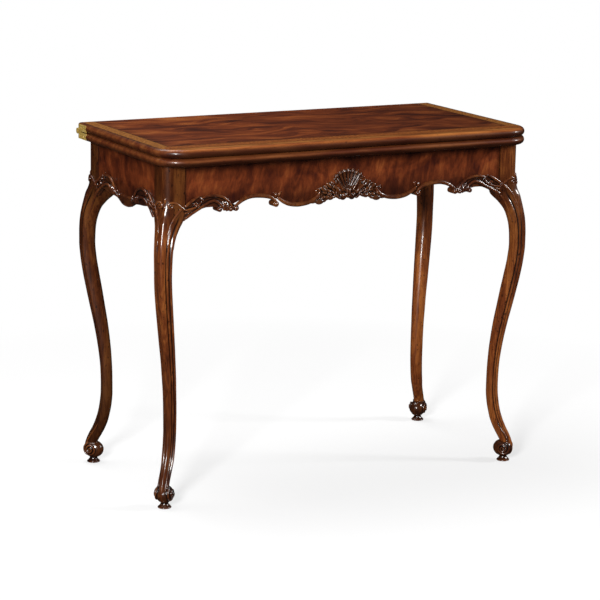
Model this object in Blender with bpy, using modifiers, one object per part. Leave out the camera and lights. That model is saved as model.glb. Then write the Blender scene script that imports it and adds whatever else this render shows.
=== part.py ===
"""Fold-over card table on cabriole legs, with a top that swivels and a leaf that unfolds.

Metres, +Z up, the front towards -Y, the floor at zero, the closed table's box centred on the origin.
"""

import math

import bmesh
import bpy
from mathutils import Matrix, Vector

# Top
TOP_WIDTH = 0.914
LEAF_DEPTH = 0.457
TABLE_HEIGHT = 0.778
LEAF_THICKNESS = 0.0182
LEAF_GAP = 0.0004
CORNER_RADIUS = 0.066
LIPPING_WIDTH = 0.024
CLOTH_MARGIN = 0.060
CLOTH_BACK_MARGIN = 0.012
CLOTH_THICKNESS = 0.0010

# Frame
END_OVERHANG = 0.0176
FRONT_OVERHANG = 0.0369
BACK_OVERHANG = 0.0174
POST_SIDE = 0.048
POST_CORNER_RADIUS = 0.020
RAIL_THICKNESS = 0.022
RAIL_RECESS = 0.004
APRON_DEPTH = 0.104
EDGE_INSET = 0.004
TENON_LENGTH = 0.018
TENON_THICKNESS = 0.008
TENON_HEIGHT = 0.056
TENON_DROP = 0.010

# Legs, whose corners are measured outwards from the post's middle along its diagonal
KNEE_REACH = 0.055
FOOT_REACH = 0.0215
SCROLL_RADIUS = 0.021
SCROLL_HEIGHT = 0.0295
SCROLL_RIM = 0.030
SCROLL_EYE = 0.041
PAD_RADIUS = 0.0145
PAD_HEIGHT = 0.0115

# Carved edge
GROUND_THICKNESS = 0.0012
GROUND_WIDTH = 0.026
CARVING_LAYERS = 12
MOULDING_WIDTH = 0.010
MOULDING_PROUD = 0.008
CURL_PROUD = 0.011
SHELL_RADIUS = 0.047
SHELL_DROP = 0.0765
SHELL_PROUD = 0.014

# Pivot
PIVOT_RAIL_WIDTH = 0.044
PIVOT_RAIL_HEIGHT = 0.022
HOUSING_DEPTH = 0.008
STUD_RADIUS = 0.005
PIVOT_PLATE_SIDE = 0.040
PIVOT_PLATE_THICKNESS = 0.003
WASHER_RADIUS = 0.012
WASHER_THICKNESS = 0.002
NUT_RADIUS = 0.0095
NUT_HEIGHT = 0.008
STOP_PIN_RADIUS = 0.004
STOP_PIN_LENGTH = 0.014
STOP_PIN_SEAT = 0.008

# Corner braces and their screws
BRACE_THICKNESS = 0.020
BRACE_HEIGHT = 0.045
BRACE_DROP = 0.016
BRACE_SCREW_LENGTH = 0.036
BRACE_SCREW_RADIUS = 0.0022
BRACE_HEAD_RADIUS = 0.0045

# Hinges
HINGE_SETBACK = 0.0005
KNUCKLE_RADIUS = 0.0065
KNUCKLE_CLEARANCE = 0.0005
HINGE_PLATE_LENGTH = 0.047
HINGE_PLATE_HEIGHT = 0.0145
HINGE_PLATE_THICKNESS = 0.003
HINGE_PLATE_OFFSET = 0.0012
HINGE_WEB = 0.004
TONGUE_HEIGHT = 0.0049
HINGE_PIN_RADIUS = 0.0020
HINGE_PIN_CLEARANCE = 0.00012
HINGE_PIN_PROUD = 0.0006
HINGE_SCREW_RADIUS = 0.0014
HINGE_HEAD_RADIUS = 0.0030
HINGE_SCREW_LENGTH = 0.014

# Clearances
FIT = 0.0003
SWIVEL_CLEARANCE = 0.0008
OVERRUN = 0.002

# Where things lie
TOP_Y = -(HINGE_SETBACK + KNUCKLE_RADIUS) / 2
HINGE_Y = TOP_Y + LEAF_DEPTH / 2 + HINGE_SETBACK
JOINT_Z = TABLE_HEIGHT - LEAF_THICKNESS - LEAF_GAP / 2
LOWER_FACE_Z = JOINT_Z - LEAF_GAP / 2
UPPER_FACE_Z = JOINT_Z + LEAF_GAP / 2
UNDER_TOP = LOWER_FACE_Z - LEAF_THICKNESS
FRAME_TOP = UNDER_TOP - SWIVEL_CLEARANCE
PIVOT_X = LEAF_DEPTH / 4
PIVOT_Y = TOP_Y + LEAF_DEPTH / 4
FRONT_FACE_Y = TOP_Y - LEAF_DEPTH / 2 + FRONT_OVERHANG
BACK_FACE_Y = TOP_Y + LEAF_DEPTH / 2 - BACK_OVERHANG
END_FACE_X = TOP_WIDTH / 2 - END_OVERHANG
FRAME_Y = (FRONT_FACE_Y + BACK_FACE_Y) / 2
LONG_SPAN = 2 * (END_FACE_X - POST_SIDE)
SHORT_SPAN = BACK_FACE_Y - FRONT_FACE_Y - 2 * POST_SIDE
FRONT_INSIDE_Y = FRONT_FACE_Y + RAIL_RECESS + RAIL_THICKNESS
BACK_INSIDE_Y = BACK_FACE_Y - RAIL_RECESS - RAIL_THICKNESS
STOP_OFFSET = PIVOT_RAIL_WIDTH / 2 + STOP_PIN_RADIUS + FIT

# Leg corners: height as a share of the frame's top, then outer and inner corner as shares of the knee's reach
LEG_CORNER_SHARES = (
    (0.930, 0.44, -0.52),
    (0.905, 0.56, -0.54),
    (0.846, 0.68, -0.52),
    (0.818, 0.79, -0.19),
    (0.793, 0.88, 0.07),
    (0.765, 0.95, 0.21),
    (0.705, 0.99, 0.33),
    (0.571, 0.77, 0.10),
    (0.417, 0.30, -0.264),
    (0.300, 0.07, -0.41),
    (0.220, 0.06, -0.43),
    (0.149, 0.236, -0.282),
    (0.111, 0.433, -0.11),
    (0.086, 0.61, 0.064),
    (0.055, 0.74, 0.30),
)
LEG_SQUARENESS_SHARES = ((0.055, 2.8), (0.77, 3.2), (0.846, 5.0), (0.930, 6.0))
LEG_SIDE_SHARES = ((0.77, 1.05), (0.82, 1.0))
SCROLL_PROFILE_SHARES = ((0.0, 1.0), (0.30, 0.98), (0.42, 0.80), (0.55, 0.84), (0.80, 0.78), (1.0, 0.60))

# Carved lower edges: distance from the middle as a share of half the span, drop as a share of the apron's
# depth. On the front the part up to the ornament's share takes its width from the shell and leaves.
ORNAMENT_SHARE = 0.213
ORNAMENT_SPREAD_SHARE = 1.774
FRONT_EDGE_SHARES = (
    (0.0, 0.90), (0.09, 0.87), (0.18, 0.98), (0.235, 0.965), (0.31, 0.995), (0.385, 0.937), (0.43, 0.88),
    (0.50, 0.79), (0.56, 0.754), (0.65, 0.797), (0.72, 0.92), (0.80, 0.95), (0.86, 0.869), (0.92, 0.925),
    (0.96, 1.0), (1.0, 1.10),
)
BACK_EDGE_SHARES = (
    (0.0, 0.90), (0.12, 0.96), (0.31, 1.0), (0.44, 0.86),
    (0.58, 0.745), (0.74, 0.78), (0.90, 0.90), (1.0, 1.10),
)
SIDE_EDGE_SHARES = (
    (0.0, 1.10), (0.15, 1.08), (0.30, 1.0), (0.40, 0.97),
    (0.62, 0.94), (0.80, 0.915), (0.89, 0.925), (1.0, 1.10),
)

# Mouldings along those edges: distance share, drop share, width as a share of the plain one, hollow share
FRONT_WAVE_SHARES = ((0.213, 0.84, 0.7, 0.0), (0.240, 0.89, 0.9, 0.0), (0.31, 0.945, 1.0, 0.0),
                     (0.385, 0.89, 0.95, 0.0), (0.44, 0.80, 0.7, 0.0))
FRONT_ARCH_SHARES = ((0.455, 0.84, 0.7, 0.0), (0.50, 0.745, 0.9, 0.0), (0.57, 0.70, 1.0, 0.0),
                     (0.64, 0.735, 1.0, 0.0), (0.69, 0.83, 0.8, 0.0))
FRONT_BAND_SHARES = ((0.742, 0.90, 1.3, 0.2), (0.762, 0.81, 2.0, 0.5), (0.80, 0.755, 2.4, 0.6),
                     (0.86, 0.741, 2.5, 0.6), (0.92, 0.787, 2.6, 0.5), (0.965, 0.87, 2.6, 0.4),
                     (1.0, 0.95, 2.6, 0.4))
FRONT_CURL_SHARES = ((0.232, 0.78, 0.6), (0.44, 0.70, 0.75), (0.466, 0.90, 0.9), (0.686, 0.92, 0.8),
                     (0.735, 0.935, 0.7), (0.80, 0.935, 0.7), (0.935, 0.735, 0.85))
SIDE_LOBE_SHARES = ((-0.29, 0.955, 0.9, 0.0), (-0.15, 1.025, 1.0, 0.0), (0.0, 1.05, 1.0, 0.0),
                    (0.15, 1.025, 1.0, 0.0), (0.29, 0.955, 0.9, 0.0))
SIDE_BAND_SHARES = ((0.39, 0.88, 1.5, 0.2), (0.47, 0.80, 1.9, 0.5), (0.62, 0.73, 2.2, 0.6),
                    (0.75, 0.73, 2.2, 0.6), (0.86, 0.79, 2.0, 0.5), (1.0, 0.98, 1.9, 0.4))
SIDE_CURL_SHARES = ((0.28, 0.85, 0.6), (0.36, 0.89, 0.95), (0.86, 0.72, 0.8))
BACK_MOULDING_SHARES = ((0.0, 0.855, 1.0, 0.0), (0.12, 0.91, 1.0, 0.0), (0.31, 0.95, 1.0, 0.0),
                        (0.44, 0.81, 1.0, 0.0), (0.58, 0.70, 1.0, 0.0), (0.74, 0.735, 1.0, 0.0),
                        (0.90, 0.85, 1.1, 0.0), (1.0, 1.02, 1.3, 0.0))
FRONT_GROUND_SPAN_SHARES = (0.215, 1.0)
SIDE_GROUND_SPAN_SHARES = (-1.0, 1.0)
UPRIGHT_FROM_SHARE = 0.86
UPRIGHT_BY_SHARE = 0.93
MOULDING_SECTION_SHARES = ((-0.5, 0.0), (-0.5, 0.5), (-0.38, 0.95), (-0.17, 1.0),
                           (0.17, 1.0), (0.38, 0.95), (0.5, 0.5), (0.5, 0.0))
MOULDING_HOLLOWED = (3, 4)
CURL_PROFILE_SHARES = ((0.0, 1.0), (0.45, 0.92), (0.85, 0.62), (1.0, 0.25))
CURL_STEPS = 8

# Shell and leaves, as shares of the shell's radius
SHELL_RIBS = 7
SHELL_SWEEP = math.radians(112)
SHELL_RIB_SHARE = 0.22
SHELL_SCALLOP_SHARE = 0.05
SHELL_HEIGHT_SHARES = ((0.0, 0.80), (0.25, 0.72), (0.60, 0.78), (0.88, 1.0), (1.0, 0.45))
SHELL_HUB_SHARE = 0.34
SHELL_VOLUTE_SHARES = ((-0.22, -0.25, 0.21), (0.22, -0.25, 0.21), (-0.50, 0.06, 0.20), (0.50, 0.06, 0.20))
LEAF_SHARES = ((0.98, 0.10, 0.24), (1.42, 0.0, 0.22), (0.95, -0.20, 0.20), (1.48, -0.29, 0.22),
               (1.22, 0.34, 0.12))
LEAF_PETALS = 5
LEAF_PETAL_SHARE = 0.16

RING_POINTS = 16
PROFILE_STEPS = 14
SMALL_STEPS = 8
QUARTER = math.pi / 2
SMOOTH_ANGLE = math.radians(38)


def emptied_scene():
    """Remove what the file holds and return the two collections that the table uses."""
    for item in list(bpy.data.objects):
        bpy.data.objects.remove(item, do_unlink=True)
    pieces = bpy.data.collections.new("card_table")
    cutters = bpy.data.collections.new("cutters")
    for group in (pieces, cutters):
        bpy.context.scene.collection.children.link(group)
    return pieces, cutters


PIECES, CUTTERS = emptied_scene()


def wood(name, colour, roughness=0.28):
    return finish_material(name, colour, roughness, 0.0)


def finish_material(name, colour, roughness, metallic):
    """A Principled material in one colour."""
    material = bpy.data.materials.new(name)
    material.use_nodes = True
    shader = material.node_tree.nodes["Principled BSDF"]
    shader.inputs["Base Color"].default_value = (*colour, 1.0)
    shader.inputs["Roughness"].default_value = roughness
    shader.inputs["Metallic"].default_value = metallic
    material.diffuse_color = (*colour, 1.0)
    return material


MAHOGANY = wood("polished_mahogany", (0.115, 0.030, 0.009))
FLAME_VENEER = wood("flame_veneer", (0.090, 0.022, 0.009))
CARVED_WOOD = wood("carved_mahogany", (0.050, 0.017, 0.008), 0.24)
INSIDE_WOOD = wood("inside_wood", (0.30, 0.17, 0.075), 0.6)
BRASS = finish_material("aged_brass", (0.42, 0.32, 0.12), 0.38, 1.0)
STEEL = finish_material("zinced_steel", (0.45, 0.45, 0.44), 0.4, 1.0)
CLOTH = finish_material("green_baize", (0.020, 0.085, 0.035), 0.95, 0.0)


def held(name, mesh, group):
    item = bpy.data.objects.new(name, mesh)
    group.objects.link(item)
    return item


def tool(name, mesh):
    """An object that only cuts or joins others."""
    item = held(name, mesh, CUTTERS)
    item.hide_render = True
    item.display_type = "WIRE"
    return item


def mesh_of(shape):
    """Turn a bmesh with its faces pointing out into a mesh."""
    bmesh.ops.recalc_face_normals(shape, faces=shape.faces)
    mesh = bpy.data.meshes.new("solid")
    shape.to_mesh(mesh)
    shape.free()
    return mesh


def box(low, high):
    """A box between two corners, given in any order."""
    shape = bmesh.new()
    size = [abs(b - a) for a, b in zip(low, high)]
    middle = [(a + b) / 2 for a, b in zip(low, high)]
    bmesh.ops.create_cube(shape, size=1.0, matrix=Matrix.Translation(middle) @ Matrix.Diagonal((*size, 1.0)))
    return tool("box", mesh_of(shape))


def rod(start, end, radius, steps=PROFILE_STEPS):
    """A straight cylinder between two points."""
    shape = bmesh.new()
    start, end = Vector(start), Vector(end)
    turn = (end - start).to_track_quat("Z", "Y").to_matrix().to_4x4()
    place = Matrix.Translation((start + end) / 2) @ turn
    bmesh.ops.create_cone(shape, cap_ends=True, segments=steps, radius1=radius, radius2=radius,
                          depth=(end - start).length, matrix=place)
    return tool("rod", mesh_of(shape))


def turned(profile, place, steps=PROFILE_STEPS):
    """A solid of revolution: the profile's (radius, height) points run from its top to its foot."""
    shape = bmesh.new()
    corners = [shape.verts.new((radius, 0.0, height)) for radius, height in profile]
    for first, second in zip(corners, corners[1:]):
        shape.edges.new((first, second))
    mesh = bpy.data.meshes.new("profile")
    shape.to_mesh(mesh)
    shape.free()
    item = tool("turned", mesh)
    item.matrix_world = place
    screw = item.modifiers.new("turn", "SCREW")
    screw.steps = screw.render_steps = steps
    screw.use_merge_vertices = True
    screw.merge_threshold = 0.00001
    return plain(item)


def ring_profile(outer, inner, thickness):
    """The closed section of a flat ring."""
    return [(inner, thickness), (outer, thickness), (outer, 0.0), (inner, 0.0), (inner, thickness)]


def sheet(outline, thickness, place):
    """A flat outline in local XY given an even thickness either side of it."""
    curve = bpy.data.curves.new("outline", "CURVE")
    curve.dimensions = "2D"
    curve.fill_mode = "BOTH"
    curve.extrude = thickness / 2
    line = curve.splines.new("POLY")
    line.points.add(len(outline) - 1)
    for point, (x, y) in zip(line.points, outline):
        point.co = (x, y, 0.0, 1.0)
    line.use_cyclic_u = True
    item = tool("sheet", curve)
    item.matrix_world = place
    return plain(item)


def loft(rings):
    """A solid through rings of equal point counts, closed at both ends."""
    shape = bmesh.new()
    rows = [[shape.verts.new(point) for point in ring] for ring in rings]
    count = len(rows[0])
    for lower, upper in zip(rows, rows[1:]):
        for i in range(count):
            j = (i + 1) % count
            shape.faces.new((lower[i], lower[j], upper[j], upper[i]))
    shape.faces.new(rows[0])
    shape.faces.new(rows[-1])
    return tool("loft", mesh_of(shape))


def plain(item):
    """Replace an object by its evaluated mesh, welded, in world space."""
    bpy.context.view_layer.update()
    evaluated = item.evaluated_get(bpy.context.evaluated_depsgraph_get())
    mesh = bpy.data.meshes.new_from_object(evaluated)
    mesh.transform(item.matrix_world)
    shape = bmesh.new()
    shape.from_mesh(mesh)
    bmesh.ops.remove_doubles(shape, verts=shape.verts, dist=0.000001)
    bmesh.ops.recalc_face_normals(shape, faces=shape.faces)
    shape.to_mesh(mesh)
    shape.free()
    bpy.data.objects.remove(item, do_unlink=True)
    return tool("plain", mesh)


def combined(body, others, operation):
    """Join others to a body, or cut them out of it, all in one step."""
    group = bpy.data.collections.new("operands")
    bpy.context.scene.collection.children.link(group)
    for other in others:
        group.objects.link(other)
    step = body.modifiers.new(operation.lower(), "BOOLEAN")
    step.operation = operation
    step.operand_type = "COLLECTION"
    step.collection = group
    result = plain(body)
    for other in others:
        bpy.data.objects.remove(other, do_unlink=True)
    bpy.data.collections.remove(group)
    return result


def joined(body, *others):
    return combined(body, others, "UNION")


def cut(body, *others):
    return combined(body, others, "DIFFERENCE")


def piece(name, solid, material, place=Matrix(), parent=None):
    """Keep a solid as a named piece of the table, with its place in its object's transform."""
    mesh = solid.data.copy()
    mesh.name = name
    keep(name, mesh, material, place, parent)
    bpy.data.objects.remove(solid, do_unlink=True)


def keep(name, mesh, material, place=Matrix(), parent=None):
    mesh.materials.clear()
    mesh.materials.append(material)
    mesh.shade_smooth()
    mesh.set_sharp_from_angle(angle=SMOOTH_ANGLE)
    item = held(name, mesh, PIECES)
    if parent is not None:
        item.parent = parent
        item.matrix_parent_inverse = Matrix()
        item.matrix_local = Matrix.Translation(-parent_origin(parent)) @ place
    else:
        item.matrix_world = place


def parent_origin(parent):
    """Where an empty stands, added up through its parents."""
    origin = Vector(parent.location)
    while parent.parent is not None:
        parent = parent.parent
        origin += Vector(parent.location)
    return origin


def axis_empty(name, location, parent=None):
    """An empty that stands on a joint's axis."""
    empty = held(name, None, PIECES)
    empty.location = Vector(location) - (parent_origin(parent) if parent is not None else Vector())
    empty.parent = parent
    return empty


def smooth(table, at, column=1):
    """Read a column of a table between its rows along a curve that never overshoots them."""
    rows = sorted(table)
    xs = [row[0] for row in rows]
    ys = [row[column] for row in rows]
    if at <= xs[0]:
        return ys[0]
    if at >= xs[-1]:
        return ys[-1]
    steps = [(b - a) / (d - c) for a, b, c, d in zip(ys, ys[1:], xs, xs[1:])]
    slopes = [0.0] * len(xs)
    for i in range(1, len(xs) - 1):
        if steps[i - 1] * steps[i] > 0:
            slopes[i] = 2 * steps[i - 1] * steps[i] / (steps[i - 1] + steps[i])
    slopes[0], slopes[-1] = steps[0], steps[-1]
    if table is FRONT_EDGE_SHARES or table is BACK_EDGE_SHARES or table is SIDE_EDGE_SHARES:
        slopes[0] = 0.0
    k = max(i for i in range(len(xs) - 1) if xs[i] <= at)
    width = xs[k + 1] - xs[k]
    t = (at - xs[k]) / width
    return (ys[k] * (1 + 2 * t) * (1 - t) ** 2 + slopes[k] * width * t * (1 - t) ** 2
            + ys[k + 1] * t * t * (3 - 2 * t) + slopes[k + 1] * width * t * t * (t - 1))


def arc(centre, radius, start, sweep, steps):
    return [(centre[0] + radius * math.cos(start + sweep * i / steps),
             centre[1] + radius * math.sin(start + sweep * i / steps)) for i in range(steps + 1)]


def halves(low, high, steps):
    return [low + (high - low) * i / steps for i in range(steps + 1)]


# The leg is built for the front right corner: outwards is +X and -Y, about the post's middle
OUTWARD = Vector((1, -1, 0)).normalized()
SIDEWAYS = Vector((1, 1, 0)).normalized()
POST_HALF = POST_SIDE / 2
RAIL_MIDDLE = POST_HALF - RAIL_RECESS - RAIL_THICKNESS / 2


def leg_ring(share):
    """One level section of the leg: a square with soft corners, one of them outwards."""
    outer = KNEE_REACH * smooth(LEG_CORNER_SHARES, share, 1)
    inner = KNEE_REACH * smooth(LEG_CORNER_SHARES, share, 2)
    power = smooth(LEG_SQUARENESS_SHARES, share)
    middle = OUTWARD * (outer + inner) / 2 + Vector((0, 0, share * FRAME_TOP))
    half = (outer - inner) / 2 / (math.sqrt(2) * 0.5 ** (1 / power))
    stretch = smooth(LEG_SIDE_SHARES, share)
    points = []
    for i in range(RING_POINTS):
        angle = 2 * math.pi * (i + 0.5) / RING_POINTS
        across, along = math.cos(angle), math.sin(angle)
        flat = Vector((math.copysign(abs(across) ** (2 / power), across),
                       math.copysign(abs(along) ** (2 / power), along), 0)) * half
        points.append(middle + OUTWARD * flat.dot(OUTWARD) + SIDEWAYS * flat.dot(SIDEWAYS) * stretch)
    return points


def leg_levels():
    """The table's own heights and one between each two of them, from the top down."""
    heights = [row[0] for row in LEG_CORNER_SHARES]
    between = [(a + b) / 2 for a, b in zip(heights, heights[1:]) if a - b > 0.065]
    return sorted(heights + between, reverse=True)


def post():
    """The square post with its outer corner rounded, down to where the aprons end."""
    corner = (POST_HALF - POST_CORNER_RADIUS, -POST_HALF + POST_CORNER_RADIUS)
    outline = [(-POST_HALF, POST_HALF), (-POST_HALF, -POST_HALF)]
    outline += arc(corner, POST_CORNER_RADIUS, -QUARTER, QUARTER, 5)
    outline += [(POST_HALF, POST_HALF)]
    low = edge_height(SIDE_EDGE_SHARES, 1.0)
    return sheet(outline, FRAME_TOP - low, Matrix.Translation((0, 0, (FRAME_TOP + low) / 2)))


def scroll():
    """The foot's scroll, a disc with a raised eye on each side."""
    side = [(SCROLL_RADIUS * r, SCROLL_EYE / 2 * w) for r, w in SCROLL_PROFILE_SHARES[:-1]]
    rim = [(SCROLL_RADIUS * 0.94, SCROLL_RIM / 2), (SCROLL_RADIUS, SCROLL_RIM / 3)]
    upper = side + rim
    profile = upper + [(r, -w) for r, w in reversed(upper)]
    turn = SIDEWAYS.to_track_quat("Z", "Y").to_matrix().to_4x4()
    middle = OUTWARD * FOOT_REACH + Vector((0, 0, SCROLL_HEIGHT))
    return turned(profile, Matrix.Translation(middle) @ turn, RING_POINTS)


def pad():
    """The small turned pad that the scroll stands on."""
    profile = [(0.0, PAD_HEIGHT * 1.2), (PAD_RADIUS * 0.66, PAD_HEIGHT * 1.2),
               (PAD_RADIUS * 0.66, PAD_HEIGHT * 0.76), (PAD_RADIUS * 0.92, PAD_HEIGHT * 0.5),
               (PAD_RADIUS, PAD_HEIGHT * 0.3), (PAD_RADIUS * 0.93, 0.0), (0.0, 0.0)]
    return turned(profile, Matrix.Translation(OUTWARD * FOOT_REACH), RING_POINTS)


def mortise(sign):
    """The socket in the post for one rail's tenon: -1 for the front rail, 1 for the end rail."""
    half = TENON_THICKNESS / 2 + FIT
    deep = POST_HALF - TENON_LENGTH - FIT
    top = FRAME_TOP - TENON_DROP + FIT
    foot = FRAME_TOP - TENON_DROP - TENON_HEIGHT - FIT
    if sign < 0:
        return box((-POST_HALF - OVERRUN, -RAIL_MIDDLE - half, foot), (-deep, -RAIL_MIDDLE + half, top))
    return box((RAIL_MIDDLE - half, deep, foot), (RAIL_MIDDLE + half, POST_HALF + OVERRUN, top))


def brace_screw_line():
    """Where the brace's screw starts and ends, on the post's diagonal."""
    height = FRAME_TOP - BRACE_DROP - BRACE_HEIGHT / 2
    inside = POST_HALF * math.sqrt(2) + FIT + BRACE_THICKNESS
    start = -OUTWARD * inside + Vector((0, 0, height))
    return start, start + OUTWARD * BRACE_SCREW_LENGTH


def brace_screw(clearance):
    """The screw, or with a clearance the hole that it needs."""
    start, end = brace_screw_line()
    radius = BRACE_SCREW_RADIUS + clearance
    shank = rod(start - OUTWARD * OVERRUN, end + OUTWARD * clearance, radius, SMALL_STEPS)
    if clearance:
        return shank
    head_end = start - OUTWARD * (BRACE_HEAD_RADIUS * 0.6 + FIT)
    return joined(rod(head_end, start - OUTWARD * FIT, BRACE_HEAD_RADIUS, SMALL_STEPS), shank)


def leg_mesh():
    body = loft([leg_ring(share) for share in leg_levels()])
    body = joined(body, post(), scroll(), pad())
    body = cut(body, mortise(-1), mortise(1), brace_screw(FIT))
    return body


def corner_turns():
    """Each corner's name, the post's middle and the quarter turns from the front right."""
    x = END_FACE_X - POST_HALF
    front, back = FRONT_FACE_Y + POST_HALF, BACK_FACE_Y - POST_HALF
    return (("front_right", x, front, 0), ("back_right", x, back, 1),
            ("back_left", -x, back, 2), ("front_left", -x, front, 3))


def corner_place(x, y, turns):
    return Matrix.Translation((x, y, 0)) @ Matrix.Rotation(turns * QUARTER, 4, "Z")


def brace():
    """A board across the corner inside, mitred on to both rails and just clear of the post."""
    rail_inside = POST_HALF - RAIL_RECESS - RAIL_THICKNESS - FIT
    outer = POST_HALF * 2 + FIT * math.sqrt(2) + rail_inside
    inner = outer + BRACE_THICKNESS * math.sqrt(2)
    outline = [(-outer, -rail_inside), (-inner, -rail_inside), (rail_inside, inner), (rail_inside, outer)]
    middle = FRAME_TOP - BRACE_DROP - BRACE_HEIGHT / 2
    board = sheet(outline, BRACE_HEIGHT, Matrix.Translation((0, 0, middle)))
    return cut(board, brace_screw(FIT))


def make_corners():
    """Four legs, four braces and their screws, one mesh for each kind."""
    kinds = (("leg", leg_mesh(), MAHOGANY), ("corner_brace", brace(), INSIDE_WOOD),
             ("brace_screw", brace_screw(0.0), STEEL))
    for kind, solid, material in kinds:
        mesh = solid.data
        for name, x, y, turns in corner_turns():
            keep(kind + "_" + name, mesh, material, corner_place(x, y, turns))
        bpy.data.objects.remove(solid, do_unlink=True)


# Rails lie along local X with their outer face at zero and their inside towards +Y
UPRIGHT = Matrix.Rotation(QUARTER, 4, "X")
FRONT_ORNAMENT = SHELL_RADIUS * ORNAMENT_SPREAD_SHARE


def edge_height(table, share):
    return FRAME_TOP - APRON_DEPTH * smooth(table, abs(share))


def from_middle(half, share, ornament):
    """How far from a rail's middle a share lies, where an ornament in the middle keeps its own width."""
    if not ornament:
        return share * half
    size = abs(share)
    if size < ORNAMENT_SHARE:
        return ornament * share / ORNAMENT_SHARE
    return math.copysign(ornament + (half - ornament) * (size - ORNAMENT_SHARE) / (1 - ORNAMENT_SHARE), share)


def rail(span, table, samples, ornament=0.0):
    """A rail with a shaped lower edge and a tenon at each end."""
    half = span / 2 - FIT
    outline = [(-half, FRAME_TOP), (half, FRAME_TOP)]
    for share in halves(1.0, -1.0, samples):
        outline.append((from_middle(half, share, ornament), edge_height(table, share) + EDGE_INSET))
    board = sheet(outline, RAIL_THICKNESS, Matrix.Translation((0, RAIL_THICKNESS / 2, 0)) @ UPRIGHT)
    reach = span / 2 + TENON_LENGTH
    near = (RAIL_THICKNESS - TENON_THICKNESS) / 2
    top = FRAME_TOP - TENON_DROP
    return joined(board, box((-reach, near, top - TENON_HEIGHT), (reach, near + TENON_THICKNESS, top)))


def rail_housing(sign):
    """The notch that takes one end of the pivot rail."""
    half = PIVOT_RAIL_WIDTH / 2 + FIT
    middle = sign * PIVOT_X
    return box((middle - half, RAIL_THICKNESS - HOUSING_DEPTH, FRAME_TOP - PIVOT_RAIL_HEIGHT - FIT),
               (middle + half, RAIL_THICKNESS + OVERRUN, FRAME_TOP + OVERRUN))


def side_place(side):
    """Where a rail's local frame stands for each side of the table."""
    recess = RAIL_RECESS
    places = {
        "front": (0.0, FRONT_FACE_Y + recess, 0),
        "right": (END_FACE_X - recess, FRAME_Y, 1),
        "back": (0.0, BACK_FACE_Y - recess, 2),
        "left": (-END_FACE_X + recess, FRAME_Y, 3),
    }
    x, y, turns = places[side]
    return corner_place(x, y, turns)


def make_rails():
    front = cut(rail(LONG_SPAN, FRONT_EDGE_SHARES, 64, FRONT_ORNAMENT), rail_housing(1))
    back = cut(rail(LONG_SPAN, BACK_EDGE_SHARES, 44), rail_housing(-1))
    piece("rail_front", front, FLAME_VENEER, side_place("front"))
    piece("rail_back", back, FLAME_VENEER, side_place("back"))
    for side in ("left", "right"):
        piece("rail_" + side, rail(SHORT_SPAN, SIDE_EDGE_SHARES, 30), FLAME_VENEER, side_place(side))


def layer(number):
    """How far out of the rail's face one layer of the carving starts, so that no two lie in one plane."""
    return FIT + GROUND_THICKNESS * number / CARVING_LAYERS


def moulding(span, table, number, mirrored=False, ornament=0.0, steps=2):
    """A carved strip that lies on the rail's outer face along a row of places."""
    half = span / 2 - FIT
    sign = -1 if mirrored else 1
    rows = [table[0]]
    for first, second in zip(table, table[1:]):
        for t in halves(0.0, 1.0, steps)[1:]:
            rows.append(tuple(a + (b - a) * t for a, b in zip(first, second)))
    rows = rounded(rows, steps)
    places = [Vector((sign * from_middle(half, row[0], ornament), 0, FRAME_TOP - APRON_DEPTH * row[1]))
              for row in rows]
    rings = []
    for i, place in enumerate(places):
        along = places[min(i + 1, len(places) - 1)] - places[max(i - 1, 0)]
        upright = (abs(rows[i][0]) - UPRIGHT_FROM_SHARE) / (UPRIGHT_BY_SHARE - UPRIGHT_FROM_SHARE)
        along.z *= 1 - min(1.0, max(0.0, upright))
        across = Vector((-along.z, 0, along.x)).normalized()
        width = MOULDING_WIDTH * rows[i][2]
        ring = []
        for n, (side, out) in enumerate(MOULDING_SECTION_SHARES):
            proud = out * (1 - rows[i][3]) if n in MOULDING_HOLLOWED else out
            lift = layer(number) + proud * MOULDING_PROUD
            ring.append(place + across * side * width - Vector((0, lift, 0)))
        rings.append(ring)
    return loft(rings)


def rounded(rows, reach):
    """Ease the corners of a row of places, leaving its ends."""
    for _ in range(reach):
        threes = zip(rows, rows[1:], rows[2:])
        eased = [tuple((a + 2 * b + c) / 4 for a, b, c in zip(*three)) for three in threes]
        rows = [rows[0]] + eased + [rows[-1]]
    return rows


def curl(span, row, number, mirrored=False, ornament=0.0):
    """A small domed curl on the rail's outer face."""
    x = from_middle(span / 2, row[0], ornament) * (-1 if mirrored else 1)
    return dome(x, FRAME_TOP - APRON_DEPTH * row[1], MOULDING_WIDTH * row[2], CURL_PROUD, number)


def dome(x, z, radius, proud, number):
    place = Matrix.Translation((x, -layer(number), z)) @ UPRIGHT @ Matrix.Rotation(number, 4, "Z")
    profile = [(radius * r, proud * h) for r, h in CURL_PROFILE_SHARES]
    return turned(profile + [(radius, 0.0), (0.0, 0.0)], place, CURL_STEPS)


def ground(span, table, shares, samples, mirrored=False, ornament=0.0):
    """The thin ground that the carving stands on, along a rail's lower edge."""
    sign = -1 if mirrored else 1
    places = [(sign * from_middle(span / 2 - FIT, share, ornament), edge_height(table, share) + EDGE_INSET)
              for share in halves(*shares, samples)]
    outline = places + [(x, z + GROUND_WIDTH) for x, z in reversed(places)]
    return sheet(outline, GROUND_THICKNESS, Matrix.Translation((0, -FIT - GROUND_THICKNESS / 2, 0)) @ UPRIGHT)


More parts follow.
